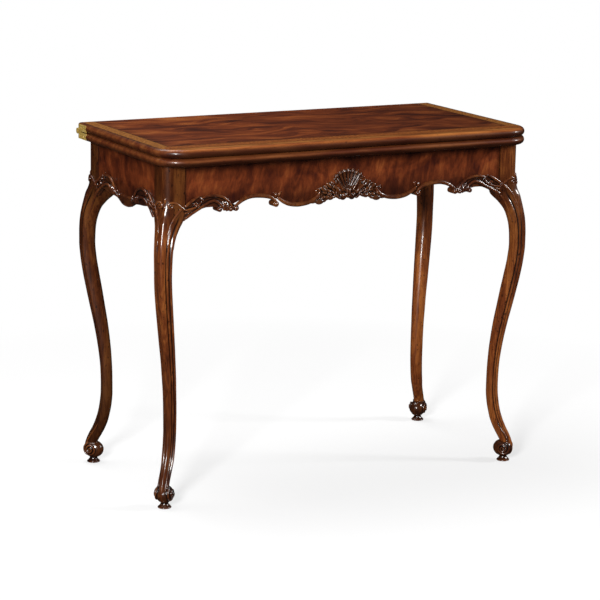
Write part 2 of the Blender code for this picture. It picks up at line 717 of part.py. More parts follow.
def make_edge_mouldings():
    front = (FRONT_BAND_SHARES, FRONT_WAVE_SHARES, FRONT_ARCH_SHARES)
    for side, mirrored in (("right", False), ("left", True)):
        keep_clear = (mirrored, FRONT_ORNAMENT)
        base = ground(LONG_SPAN, FRONT_EDGE_SHARES, FRONT_GROUND_SPAN_SHARES, 26, *keep_clear)
        others = [moulding(LONG_SPAN, table, number, *keep_clear) for number, table in enumerate(front, 1)]
        others += [curl(LONG_SPAN, row, number, *keep_clear)
                   for number, row in enumerate(FRONT_CURL_SHARES, 4)]
        piece("edge_moulding_front_" + side, joined(base, *others), CARVED_WOOD, side_place("front"))
    for side in ("left", "right"):
        base = ground(SHORT_SPAN, SIDE_EDGE_SHARES, SIDE_GROUND_SPAN_SHARES, 26)
        others = [moulding(SHORT_SPAN, SIDE_LOBE_SHARES, 1)]
        for mirrored in (False, True):
            others.append(moulding(SHORT_SPAN, SIDE_BAND_SHARES, 2 + mirrored, mirrored))
            first = 4 + mirrored * len(SIDE_CURL_SHARES)
            others += [curl(SHORT_SPAN, row, number, mirrored)
                       for number, row in enumerate(SIDE_CURL_SHARES, first)]
        piece("edge_moulding_" + side, joined(base, *others), CARVED_WOOD, side_place(side))
    whole = tuple((-row[0], *row[1:]) for row in reversed(BACK_MOULDING_SHARES[1:])) + BACK_MOULDING_SHARES
    piece("edge_moulding_back", moulding(LONG_SPAN, whole, 0), CARVED_WOOD, side_place("back"))


def relief(radius, proud, lobes, sweep, start, lobe_share, scallop_share, heights, per_lobe):
    """A fan or a flower: lobes that rise from a flat back, with ribs between its middle and its rim."""
    shape = bmesh.new()
    steps = lobes * per_lobe
    whole = sweep > 2 * math.pi - 0.01
    hub_front = shape.verts.new((0, 0, proud * heights[0][1]))
    hub_back = shape.verts.new((0, 0, 0))
    columns = []
    for i in range(steps if whole else steps + 1):
        angle = start + sweep * i / steps
        swell = math.cos(2 * math.pi * i / per_lobe - math.pi)
        reach = radius * (1 + scallop_share * swell)
        column = []
        for share, height in heights[1:]:
            rise = proud * height * (1 + lobe_share * swell * min(1.0, share * 1.6))
            at = reach * share
            column.append(shape.verts.new((at * math.cos(angle), at * math.sin(angle), rise)))
        column.append(shape.verts.new((reach * math.cos(angle), reach * math.sin(angle), 0)))
        columns.append(column)
    pairs = list(zip(columns, columns[1:] + columns[:1])) if whole else list(zip(columns, columns[1:]))
    for first, second in pairs:
        shape.faces.new((hub_front, first[0], second[0]))
        for a, b, c, d in zip(first, first[1:], second[1:], second):
            shape.faces.new((a, b, c, d))
        shape.faces.new((first[-1], hub_back, second[-1]))
    if not whole:
        shape.faces.new([hub_front, hub_back] + columns[0][::-1])
        shape.faces.new([hub_back, hub_front] + columns[-1])
    return shape


def on_front(shape, x, z, number):
    """Stand a relief upright on the front rail's face."""
    bmesh.ops.transform(shape, matrix=Matrix.Translation((x, -layer(number), z)) @ UPRIGHT, verts=shape.verts)
    return tool("relief", mesh_of(shape))


def make_front_carving():
    """The scallop shell in the middle and a spray of leaves on each side of it."""
    hub = FRAME_TOP - SHELL_DROP
    fan = on_front(relief(SHELL_RADIUS, SHELL_PROUD, SHELL_RIBS, SHELL_SWEEP, QUARTER - SHELL_SWEEP / 2,
                          SHELL_RIB_SHARE, SHELL_SCALLOP_SHARE, SHELL_HEIGHT_SHARES, 4), 0.0, hub, 0)
    middle = dome(0.0, hub, SHELL_RADIUS * SHELL_HUB_SHARE, CURL_PROUD, 1)
    volutes = [dome(x * SHELL_RADIUS, hub + z * SHELL_RADIUS, radius * SHELL_RADIUS, SHELL_PROUD, number)
               for number, (x, z, radius) in enumerate(SHELL_VOLUTE_SHARES, 2)]
    piece("shell_carving", joined(fan, middle, *volutes), CARVED_WOOD, side_place("front"))
    for side, sign in (("right", 1), ("left", -1)):
        leaves = []
        for number, (x, z, radius) in enumerate(LEAF_SHARES):
            turn = QUARTER + number * sign
            flower = relief(radius * SHELL_RADIUS, CURL_PROUD, LEAF_PETALS, 2 * math.pi, turn,
                            LEAF_PETAL_SHARE, LEAF_PETAL_SHARE, CURL_PROFILE_SHARES, 2)
            leaves.append(on_front(flower, sign * x * SHELL_RADIUS, hub + z * SHELL_RADIUS, number))
        piece("leaf_carving_" + side, joined(leaves[0], *leaves[1:]), CARVED_WOOD, side_place("front"))


def make_pivot(swivel):
    """The rail across the frame, and the stud, washer, nut and stop pin that turn on it with the top."""
    half = PIVOT_RAIL_WIDTH / 2
    reach = HOUSING_DEPTH - FIT
    board = box((PIVOT_X - half, FRONT_INSIDE_Y - reach, FRAME_TOP - PIVOT_RAIL_HEIGHT),
                (PIVOT_X + half, BACK_INSIDE_Y + reach, FRAME_TOP))
    hole = rod((PIVOT_X, PIVOT_Y, FRAME_TOP - PIVOT_RAIL_HEIGHT - OVERRUN),
               (PIVOT_X, PIVOT_Y, FRAME_TOP + OVERRUN), STUD_RADIUS + FIT)
    piece("pivot_rail", cut(board, hole), INSIDE_WOOD)
    rail_foot = FRAME_TOP - PIVOT_RAIL_HEIGHT
    plate_foot = FRAME_TOP + FIT
    stud_end = rail_foot - 2 * FIT - WASHER_THICKNESS - NUT_HEIGHT - OVERRUN
    side = PIVOT_PLATE_SIDE / 2
    plate = box((PIVOT_X - side, PIVOT_Y - side, plate_foot),
                (PIVOT_X + side, PIVOT_Y + side, plate_foot + PIVOT_PLATE_THICKNESS))
    stud_top = plate_foot + PIVOT_PLATE_THICKNESS / 2
    stud = rod((PIVOT_X, PIVOT_Y, stud_end), (PIVOT_X, PIVOT_Y, stud_top), STUD_RADIUS)
    piece("pivot_plate", joined(plate, stud), STEEL, parent=swivel)
    washer_foot = rail_foot - FIT - WASHER_THICKNESS
    washer = turned(ring_profile(WASHER_RADIUS, STUD_RADIUS + FIT, WASHER_THICKNESS),
                    Matrix.Translation((PIVOT_X, PIVOT_Y, washer_foot)))
    piece("pivot_washer", washer, STEEL, parent=swivel)
    nut_top = washer_foot - FIT
    nut = rod((PIVOT_X, PIVOT_Y, nut_top - NUT_HEIGHT), (PIVOT_X, PIVOT_Y, nut_top), NUT_RADIUS, 6)
    thread = rod((PIVOT_X, PIVOT_Y, nut_top - NUT_HEIGHT - OVERRUN), (PIVOT_X, PIVOT_Y, nut_top + OVERRUN),
                 STUD_RADIUS + FIT)
    piece("pivot_nut", cut(nut, thread), STEEL, parent=swivel)
    x, y = PIVOT_X + STOP_OFFSET, PIVOT_Y - STOP_OFFSET
    pin = rod((x, y, UNDER_TOP - STOP_PIN_LENGTH), (x, y, UNDER_TOP + STOP_PIN_SEAT), STOP_PIN_RADIUS)
    piece("stop_pin", pin, BRASS, parent=swivel)


def leaf_cutters(upper):
    """What is cut from a leaf's panel: the cloth's recess, and the pivot's seats in the lower one."""
    half = TOP_WIDTH / 2 - CLOTH_MARGIN + FIT
    front, back = cloth_ends()
    depth = CLOTH_THICKNESS + FIT
    face, inwards = (UPPER_FACE_Z, 1) if upper else (LOWER_FACE_Z, -1)
    low, high = face - inwards * OVERRUN, face + inwards * depth
    cutters = [box((-half, front - FIT, low), (half, back + FIT, high))]
    if not upper:
        side = PIVOT_PLATE_SIDE / 2 + FIT
        roof = FRAME_TOP + FIT + PIVOT_PLATE_THICKNESS + FIT
        cutters.append(box((PIVOT_X - side, PIVOT_Y - side, UNDER_TOP - OVERRUN),
                           (PIVOT_X + side, PIVOT_Y + side, roof)))
        x, y = PIVOT_X + STOP_OFFSET, PIVOT_Y - STOP_OFFSET
        cutters.append(rod((x, y, UNDER_TOP - OVERRUN), (x, y, UNDER_TOP + STOP_PIN_SEAT + FIT),
                           STOP_PIN_RADIUS + FIT))
    return cutters


def cloth_ends():
    return TOP_Y - LEAF_DEPTH / 2 + CLOTH_MARGIN, TOP_Y + LEAF_DEPTH / 2 - CLOTH_BACK_MARGIN


def leaf_path(inset, steps):
    """The leaf's three moulded sides as points, from back left round the front to back right."""
    half = TOP_WIDTH / 2
    front, back = TOP_Y - LEAF_DEPTH / 2, TOP_Y + LEAF_DEPTH / 2
    radius = CORNER_RADIUS - inset
    left = (-half + CORNER_RADIUS, front + CORNER_RADIUS)
    right = (half - CORNER_RADIUS, front + CORNER_RADIUS)
    path = [(-half + inset, back)]
    path += arc(left, radius, math.pi, QUARTER, steps)
    path += arc(right, radius, -QUARTER, QUARTER, steps)
    return path + [(half - inset, back)]


def lipping(floor, steps=6):
    """The solid edge round three sides of a leaf, rounded over on its outer side."""
    radius = LEAF_THICKNESS / 2
    section = [(LIPPING_WIDTH, LEAF_THICKNESS), (radius, LEAF_THICKNESS)]
    section += [(radius - radius * math.sin(a), radius + radius * math.cos(a))
                for a in halves(0, math.pi, 6)[1:-1]]
    section += [(radius, 0.0), (LIPPING_WIDTH, 0.0)]
    paths = [leaf_path(inset, steps) for inset, _ in section]
    rings = []
    for i in range(len(paths[0])):
        rings.append([Vector((*paths[n][i], floor + height)) for n, (_, height) in enumerate(section)])
    return loft(rings)


def panel(floor):
    outline = leaf_path(LIPPING_WIDTH + FIT, 6)
    return sheet(outline, LEAF_THICKNESS, Matrix.Translation((0, 0, floor + LEAF_THICKNESS / 2)))


def make_leaves(swivel, fold):
    front, back = cloth_ends()
    half = TOP_WIDTH / 2 - CLOTH_MARGIN
    for name, upper, parent in (("lower", False, swivel), ("upper", True, fold)):
        floor = UPPER_FACE_Z if upper else UNDER_TOP
        board = cut(panel(floor), *leaf_cutters(upper))
        piece(name + "_leaf_panel", board, FLAME_VENEER, parent=parent)
        edge = cut(lipping(floor), *[cutter for side in (-1, 1) for cutter in hinge_cutters(side, upper)])
        piece(name + "_leaf_lipping", edge, MAHOGANY, parent=parent)
        face = UPPER_FACE_Z if upper else LOWER_FACE_Z - CLOTH_THICKNESS
        cloth = box((-half, front, face), (half, back, face + CLOTH_THICKNESS))
        piece(name + "_playing_cloth", cloth, CLOTH, parent=parent)


# Hinges: distances run inwards from the leaf's end, and upwards from the joint for the upper plate
EYE_STEP = HINGE_PLATE_THICKNESS + FIT
SCREW_PLACE_SHARES = (0.2, 0.5, 0.8)


def hinge_box(side, upper, across, along, rise):
    """A box by an end's hinge: across from the end, along from the axis, rise from the joint plane."""
    end = side * TOP_WIDTH / 2
    way = 1 if upper else -1
    return box((end - side * across[0], HINGE_Y + along[0], JOINT_Z + way * rise[0]),
               (end - side * across[1], HINGE_Y + along[1], JOINT_Z + way * rise[1]))


def knuckle(side, start, end, radius):
    near, far = [side * (TOP_WIDTH / 2 - distance) for distance in (start, end)]
    return rod((near, HINGE_Y, JOINT_Z), (far, HINGE_Y, JOINT_Z), radius, PROFILE_STEPS)


def hinge_screw(side, upper, share, clearance):
    """A countersunk screw in a hinge plate, or with a clearance its hole."""
    flat = HINGE_PLATE_LENGTH - KNUCKLE_RADIUS
    y = HINGE_Y - HINGE_PLATE_LENGTH + flat * share
    z = JOINT_Z + (1 if upper else -1) * (HINGE_PLATE_OFFSET + HINGE_PLATE_HEIGHT / 2)
    inwards = Vector((-side, 0, 0))
    turn = (-inwards).to_track_quat("Z", "Y").to_matrix().to_4x4()
    head = HINGE_HEAD_RADIUS + clearance
    shank = HINGE_SCREW_RADIUS + clearance
    mouth = OVERRUN if clearance else -FIT
    profile = [(0.0, mouth), (head, mouth), (head, -FIT), (shank, -HINGE_PLATE_THICKNESS * 0.7),
               (shank, -HINGE_SCREW_LENGTH - clearance), (0.0, -HINGE_SCREW_LENGTH - clearance)]
    if not clearance:
        profile = profile[:2] + profile[3:]
    return turned(profile, Matrix.Translation((side * TOP_WIDTH / 2, y, z)) @ turn, SMALL_STEPS)


def hinge_cutters(side, upper):
    """Everything that a leaf's edge gives up to its hinge."""
    low, high = HINGE_PLATE_OFFSET - FIT, HINGE_PLATE_OFFSET + HINGE_PLATE_HEIGHT + FIT
    past = HINGE_SETBACK + OVERRUN
    web = KNUCKLE_RADIUS + HINGE_WEB + 2 * FIT
    deep = HINGE_PLATE_THICKNESS + FIT + (0 if upper else EYE_STEP)
    cutters = [
        hinge_box(side, upper, (-OVERRUN, HINGE_PLATE_THICKNESS + FIT), (-HINGE_PLATE_LENGTH - FIT, past),
                  (low, high)),
        hinge_box(side, upper, (-OVERRUN, deep), (-web, past), (-OVERRUN, high)),
        knuckle(side, -OVERRUN, 2 * HINGE_PLATE_THICKNESS + 3 * FIT, KNUCKLE_RADIUS + KNUCKLE_CLEARANCE),
    ]
    return cutters + [hinge_screw(side, upper, share, FIT) for share in SCREW_PLACE_SHARES]


def hinge_sheet(side, upper, outline, near, far):
    """A flat shape of the hinge, drawn along from the axis and away from the joint plane."""
    way = 1 if upper else -1
    turn = Matrix(((0, 0, way), (1, 0, 0), (0, way, 0))).to_4x4()
    middle = (side * (TOP_WIDTH / 2 - (near + far) / 2), HINGE_Y, JOINT_Z)
    return sheet(outline, far - near, Matrix.Translation(middle) @ turn)


def eye_outline(start):
    """The eye and the tongue that carries it, from the given distance before the axis."""
    low = math.asin(LEAF_GAP / KNUCKLE_RADIUS)
    high = math.asin(TONGUE_HEIGHT / KNUCKLE_RADIUS)
    rim = arc((0.0, 0.0), KNUCKLE_RADIUS, math.pi - low, 2 * math.pi + low - high, PROFILE_STEPS + 2)
    return [(-start, LEAF_GAP)] + rim + [(-start, TONGUE_HEIGHT)]


def hinge_plate(side, upper):
    """A plate let into the leaf's end, with the eye that turns on the pin."""
    low, high = HINGE_PLATE_OFFSET, HINGE_PLATE_OFFSET + HINGE_PLATE_HEIGHT
    clear = KNUCKLE_RADIUS + FIT
    start = clear + HINGE_WEB
    thick = HINGE_PLATE_THICKNESS
    if upper:
        eye = eye_outline(start)
        outline = [(-HINGE_PLATE_LENGTH, low), (-start, low)] + eye[:-1] + [(-clear, TONGUE_HEIGHT)]
        body = hinge_sheet(side, upper, outline + [(-clear, high), (-HINGE_PLATE_LENGTH, high)], 0.0, thick)
    else:
        flat = [(-HINGE_PLATE_LENGTH, low), (-clear, low), (-clear, high), (-HINGE_PLATE_LENGTH, high)]
        body = hinge_sheet(side, upper, flat, 0.0, thick)
        bridge = hinge_box(side, upper, (thick / 2, EYE_STEP + thick / 2), (-start + FIT, -clear - FIT),
                           (low + FIT, TONGUE_HEIGHT - FIT))
        body = joined(body, hinge_sheet(side, upper, eye_outline(start), EYE_STEP, EYE_STEP + thick), bridge)
    bore = knuckle(side, -OVERRUN, EYE_STEP + thick + OVERRUN, HINGE_PIN_RADIUS + HINGE_PIN_CLEARANCE)
    return cut(body, bore, *[hinge_screw(side, upper, share, FIT) for share in SCREW_PLACE_SHARES])


def make_hinges(swivel, fold):
    for side_name, side in (("left", -1), ("right", 1)):
        for name, upper, parent in (("lower", False, swivel), ("upper", True, fold)):
            title = "hinge_" + side_name + "_" + name
            piece(title + "_plate", hinge_plate(side, upper), BRASS, parent=parent)
            for number, share in enumerate(SCREW_PLACE_SHARES, 1):
                screw = hinge_screw(side, upper, share, 0.0)
                piece(title + "_screw_" + str(number), screw, BRASS, parent=parent)
        pin_end = HINGE_PLATE_THICKNESS + EYE_STEP + HINGE_PIN_PROUD
        pin = knuckle(side, -HINGE_PIN_PROUD, pin_end, HINGE_PIN_RADIUS)
        piece("hinge_" + side_name + "_pin", pin, BRASS, parent=swivel)


def main():
    swivel = axis_empty("swivel_axis", (PIVOT_X, PIVOT_Y, UNDER_TOP))
    fold = axis_empty("fold_axis", (0.0, HINGE_Y, JOINT_Z), swivel)
    make_corners()
    make_rails()
    make_edge_mouldings()
    make_front_carving()
    make_pivot(swivel)
    make_leaves(swivel, fold)
    make_hinges(swivel, fold)


main()
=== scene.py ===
"""Looks for the fold-over card table: polished mahogany, carving, scroll feet and brass hinges."""

import math
from functools import partial

import bpy
import bmesh
import numpy as np
from mathutils import Matrix, Vector
from mathutils.bvhtree import BVHTree


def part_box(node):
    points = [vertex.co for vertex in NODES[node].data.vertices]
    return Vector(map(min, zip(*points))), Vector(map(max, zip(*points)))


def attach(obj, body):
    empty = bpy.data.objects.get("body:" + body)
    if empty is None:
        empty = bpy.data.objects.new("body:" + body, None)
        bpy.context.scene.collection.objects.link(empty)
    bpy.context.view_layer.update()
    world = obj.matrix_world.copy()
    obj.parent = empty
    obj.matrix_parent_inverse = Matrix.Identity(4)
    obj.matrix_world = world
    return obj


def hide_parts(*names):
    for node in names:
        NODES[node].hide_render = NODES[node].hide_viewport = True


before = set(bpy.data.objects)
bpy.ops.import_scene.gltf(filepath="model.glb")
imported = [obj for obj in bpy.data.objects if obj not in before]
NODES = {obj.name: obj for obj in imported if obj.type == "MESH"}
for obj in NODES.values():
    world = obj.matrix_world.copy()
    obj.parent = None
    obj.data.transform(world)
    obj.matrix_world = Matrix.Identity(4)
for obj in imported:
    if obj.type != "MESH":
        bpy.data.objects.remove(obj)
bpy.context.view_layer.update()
MM = 0.001
DIAGONAL = math.sqrt(0.5)


def node_box(name):
    low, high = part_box(name)
    return np.array(low), np.array(high)


# Places read from the CAD: the leaves, the frame and the posts' middles
UPPER_LOW, UPPER_HIGH = node_box("upper_leaf_lipping")
LOWER_LOW, LOWER_HIGH = node_box("lower_leaf_lipping")
RAIL_LOW, RAIL_HIGH = node_box("rail_front")
FRAME_TOP = RAIL_HIGH[2]
FRONT_FACE = RAIL_LOW[1]
END_FACE = node_box("rail_right")[1][0]
BACK_FACE = node_box("rail_back")[1][1]
FRAME_Y = (FRONT_FACE + BACK_FACE) / 2
RECESS = 4 * MM
POST_HALF = 24 * MM
POST_CORNER = 20 * MM
CORNER_RADIUS = 66 * MM
POST_X = END_FACE + RECESS - POST_HALF
POST_FRONT = FRONT_FACE - RECESS + POST_HALF
POST_BACK = BACK_FACE + RECESS - POST_HALF
LONG_HALF = POST_X - POST_HALF
SHORT_HALF = (POST_BACK - POST_FRONT) / 2 - POST_HALF
CORNERS = (("front_right", POST_X, POST_FRONT, 0), ("back_right", POST_X, POST_BACK, 1),
           ("back_left", -POST_X, POST_BACK, 2), ("front_left", -POST_X, POST_FRONT, 3))
LEAVES = (("upper", "upper_leaf", UPPER_LOW, UPPER_HIGH), ("lower", "lower_top", LOWER_LOW, LOWER_HIGH))


# Small tools for nodes, colours and meshes

BLEND = {"data_type": "RGBA"}
DARKEN = {"data_type": "RGBA", "blend_type": "MULTIPLY"}


def linear(hex_colour):
    """An sRGB hex colour as linear RGBA."""
    parts = [int(hex_colour[i:i + 2], 16) / 255 for i in (1, 3, 5)]
    return (*[c / 12.92 if c <= 0.04045 else ((c + 0.055) / 1.055) ** 2.4 for c in parts], 1.0)


def feed(node, inputs):
    """Set or link a node's inputs, given by name, or in the order of those that its settings leave in use."""
    if not isinstance(inputs, dict):
        used = [number for number, socket in enumerate(node.inputs) if socket.enabled]
        inputs = dict(zip(used, inputs))
    for key, value in inputs.items():
        if isinstance(value, bpy.types.NodeSocket):
            node.id_data.links.new(value, node.inputs[key])
        elif isinstance(value, str) and value.startswith("#"):
            node.inputs[key].default_value = linear(value)
        else:
            node.inputs[key].default_value = value


def add_node(tree, kind, inputs=(), out=0, stops=(), **settings):
    """Add a node with its settings, inputs and colour stops, and give back the output that is asked for."""
    node = tree.nodes.new(kind if "Node" in kind else "ShaderNode" + kind)
    for key, value in settings.items():
        setattr(node, key, value)
    feed(node, inputs)
    if stops:
        band = node.color_ramp.elements
        while len(band) < len(stops):
            band.new(0.5)
        for element, (place, colour) in zip(band, stops):
            element.position = place
            element.color = linear(colour) if isinstance(colour, str) else (colour, colour, colour, 1.0)
    if isinstance(out, str):
        return node.outputs[out]
    used = [socket for socket in node.outputs if socket.enabled]
    return used[out] if used else None


def new_material(name):
    """A material, the call that adds its nodes, and its shader."""
    material = bpy.data.materials.new(name)
    material.use_nodes = True
    return material, partial(add_node, material.node_tree), material.node_tree.nodes["Principled BSDF"]


def object_of(name, mesh):
    item = bpy.data.objects.new(name, mesh)
    bpy.context.scene.collection.objects.link(item)
    return item


def remove(*items):
    for item in items:
        bpy.data.objects.remove(item, do_unlink=True)


def mesh_of(shape, name):
    """What was drawn, as a mesh of that name."""
    mesh = bpy.data.meshes.new(name)
    shape.to_mesh(mesh)
    shape.free()
    return mesh


def mesh_from(name, points, faces):
    """A mesh of points and faces, with its faces turned outwards."""
    mesh = bpy.data.meshes.new(name)
    mesh.from_pydata([tuple(p) for p in points], [], [tuple(f) for f in faces])
    shape = bmesh.new()
    shape.from_mesh(mesh)
    bmesh.ops.recalc_face_normals(shape, faces=shape.faces)
    shape.to_mesh(mesh)
    shape.free()
    return mesh


def bands(rings, count, first=0, closed=True):
    """The four-sided faces between rings of points that follow each other, from a first point on."""
    faces = []
    for k in range(rings - 1):
        for i in range(count if closed else count - 1):
            a, b = first + k * count + i, first + k * count + (i + 1) % count
            faces.append((a, b, b + count, a + count))
    return faces


def revolved(profile, steps, matrix):
    """A closed mesh turned about local Z from (radius, height) rows that start and end on the axis."""
    points = [(0, 0, profile[0][1]), (0, 0, profile[-1][1])]
    rows = profile[1:-1]
    for radius, height in rows:
        for i in range(steps):
            a = 2 * math.pi * i / steps
            points.append((radius * math.cos(a), radius * math.sin(a), height))
    faces = bands(len(rows), steps, 2)
    last = 2 + (len(rows) - 1) * steps
    for i in range(steps):
        j = (i + 1) % steps
        faces += [(0, 2 + i, 2 + j), (1, last + j, last + i)]
    mesh = mesh_from("turned", points, faces)
    mesh.transform(matrix)
    return mesh


def box_mesh(low, high):
    shape = bmesh.new()
    size = [b - a for a, b in zip(low, high)]
    middle = [(a + b) / 2 for a, b in zip(low, high)]
    bmesh.ops.create_cube(shape, size=1.0, matrix=Matrix.Translation(middle) @ Matrix.Diagonal((*size, 1.0)))
    return object_of("box", mesh_of(shape, "box"))


def baked(item, name):
    """The object's evaluated mesh as a plain object, with the original removed."""
    bpy.context.view_layer.update()
    mesh = bpy.data.meshes.new_from_object(item.evaluated_get(bpy.context.evaluated_depsgraph_get()))
    mesh.transform(item.matrix_world)
    remove(item)
    mesh.name = name
    return object_of(name, mesh)


def let_in(item, cutters, name):
    """Cut the seats of fittings out of a piece."""
    for cutter in cutters:
        step = item.modifiers.new("seat", "BOOLEAN")
        step.operation = "DIFFERENCE"
        step.object = cutter
    item = baked(item, name)
    remove(*cutters)
    return item


def moved_copy(item, name, matrix):
    mesh = item.data.copy()
    mesh.transform(matrix)
    mesh.name = name
    return object_of(name, mesh)


def corner_matrix(x, y, turns):
    return Matrix.Translation((x, y, 0)) @ Matrix.Rotation(turns * math.pi / 2, 4, "Z")


def finish(item, material, body, slot, *replaced, sharp=40):
    """Give a finished piece its material and body, and say which CAD nodes it stands for."""
    item.data.materials.clear()
    item.data.materials.append(material)
    item.data.shade_smooth()
    item.data.set_sharp_from_angle(angle=math.radians(sharp))
    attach(item, body)
    if replaced:
        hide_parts(*replaced)


def eased(rows, at):
    """Read a table of (place, value) rows between its rows, along a curve that never overshoots them."""
    rows = sorted(rows)
    xs = np.array([row[0] for row in rows], float)
    ys = np.array([row[1] for row in rows], float)
    steps = np.diff(ys) / np.diff(xs)
    slopes = np.zeros(len(xs))
    slopes[0], slopes[-1] = steps[0], steps[-1]
    for i in range(1, len(xs) - 1):
        if steps[i - 1] * steps[i] > 0:
            slopes[i] = 2 * steps[i - 1] * steps[i] / (steps[i - 1] + steps[i])
    at = np.clip(np.asarray(at, float), xs[0], xs[-1])
    k = np.clip(np.searchsorted(xs, at, side="right") - 1, 0, len(xs) - 2)
    width = xs[k + 1] - xs[k]
    t = (at - xs[k]) / width
    return (ys[k] * (1 + 2 * t) * (1 - t) ** 2 + slopes[k] * width * t * (1 - t) ** 2
            + ys[k + 1] * t * t * (3 - 2 * t) + slopes[k + 1] * width * t * t * (t - 1))


# Materials

GRAIN_DEPTH = 0.3 * MM
NAP_DEPTH = 0.4 * MM
# The height at which the carving starts on the aprons' faces
CARVING_LINE = 655 * MM
# Where the veneer's field and its honey band start, inwards from the leaf's end and from its front
FIELD_STARTS = (39 * MM, 64 * MM)
BAND_STARTS = (10 * MM, 30 * MM)
STRING_HALVES = (0.9 * MM, 1.2 * MM)
NOSE_WIDTH = 8.9 * MM
# Painted light and shade on the noses as (height on the leaf, tone) rows: the upper leaf's, the lower one's,
# both ends'
NOSE_PAINTED_LIGHT = (
    ((0, 0.12), (0.38, 0.17), (0.52, 0.23), (0.64, 0.32), (0.76, 0.60), (0.87, 1), (0.98, 1.2)),
    ((0, 0.10), (0.36, 0.14), (0.46, 0.23), (0.57, 0.48), (0.69, 0.60), (0.80, 0.40), (0.96, 0.36)),
    ((0, 0.20), (0.30, 0.27), (0.50, 0.38), (0.68, 0.57), (0.85, 0.48), (1, 0.42)),
)


def on_piece(add, stretch=(1, 1, 1)):
    """The piece's own coordinates, stretched for a pattern."""
    return add("Mapping", {"Vector": add("TexCoord", out="Object"), "Scale": stretch})


def mottle(add, stretch, scale, detail, roughness=0.55, distortion=0):
    """Uneven tone over a piece: the more it is stretched in a direction, the finer it is there."""
    return add("TexNoise", {"Vector": on_piece(add, stretch), "Scale": scale, "Detail": detail,
                            "Roughness": roughness, "Distortion": distortion})


def figure(add, across, upright, stretch, detail, roughness, distortion):
    """The figure of a veneer, laid over two directions of its face."""
    ways = [add("Math", pair, operation="MULTIPLY") for pair in zip((across, upright), stretch)]
    return add("TexNoise", {"Vector": add("CombineXYZ", ways), "Scale": 1, "Detail": detail,
                            "Roughness": roughness, "Distortion": distortion})


def stained(add, colour, where, start, full, share, stain):
    """A colour with a stain over it where a pattern is strong, from nothing up to a share of it."""
    by = add("ValToRGB", (where,), stops=((start, 0), (full, share)))
    return add("Mix", (by, colour, stain), **BLEND)


def polish(add, shader, colour, roughness, grain, bump, gloss, haze=0.12):
    """French polish on wood: the colour shows through a thin clear coat that fills most of the grain."""
    bumped = add("Bump", {"Strength": bump, "Distance": GRAIN_DEPTH, "Height": grain})
    feed(shader, {"Base Color": colour, "Roughness": roughness, "Normal": bumped, "IOR": 1.45,
                  "Specular IOR Level": 0.3, "Coat Weight": gloss, "Coat Roughness": haze, "Coat IOR": 1.7})


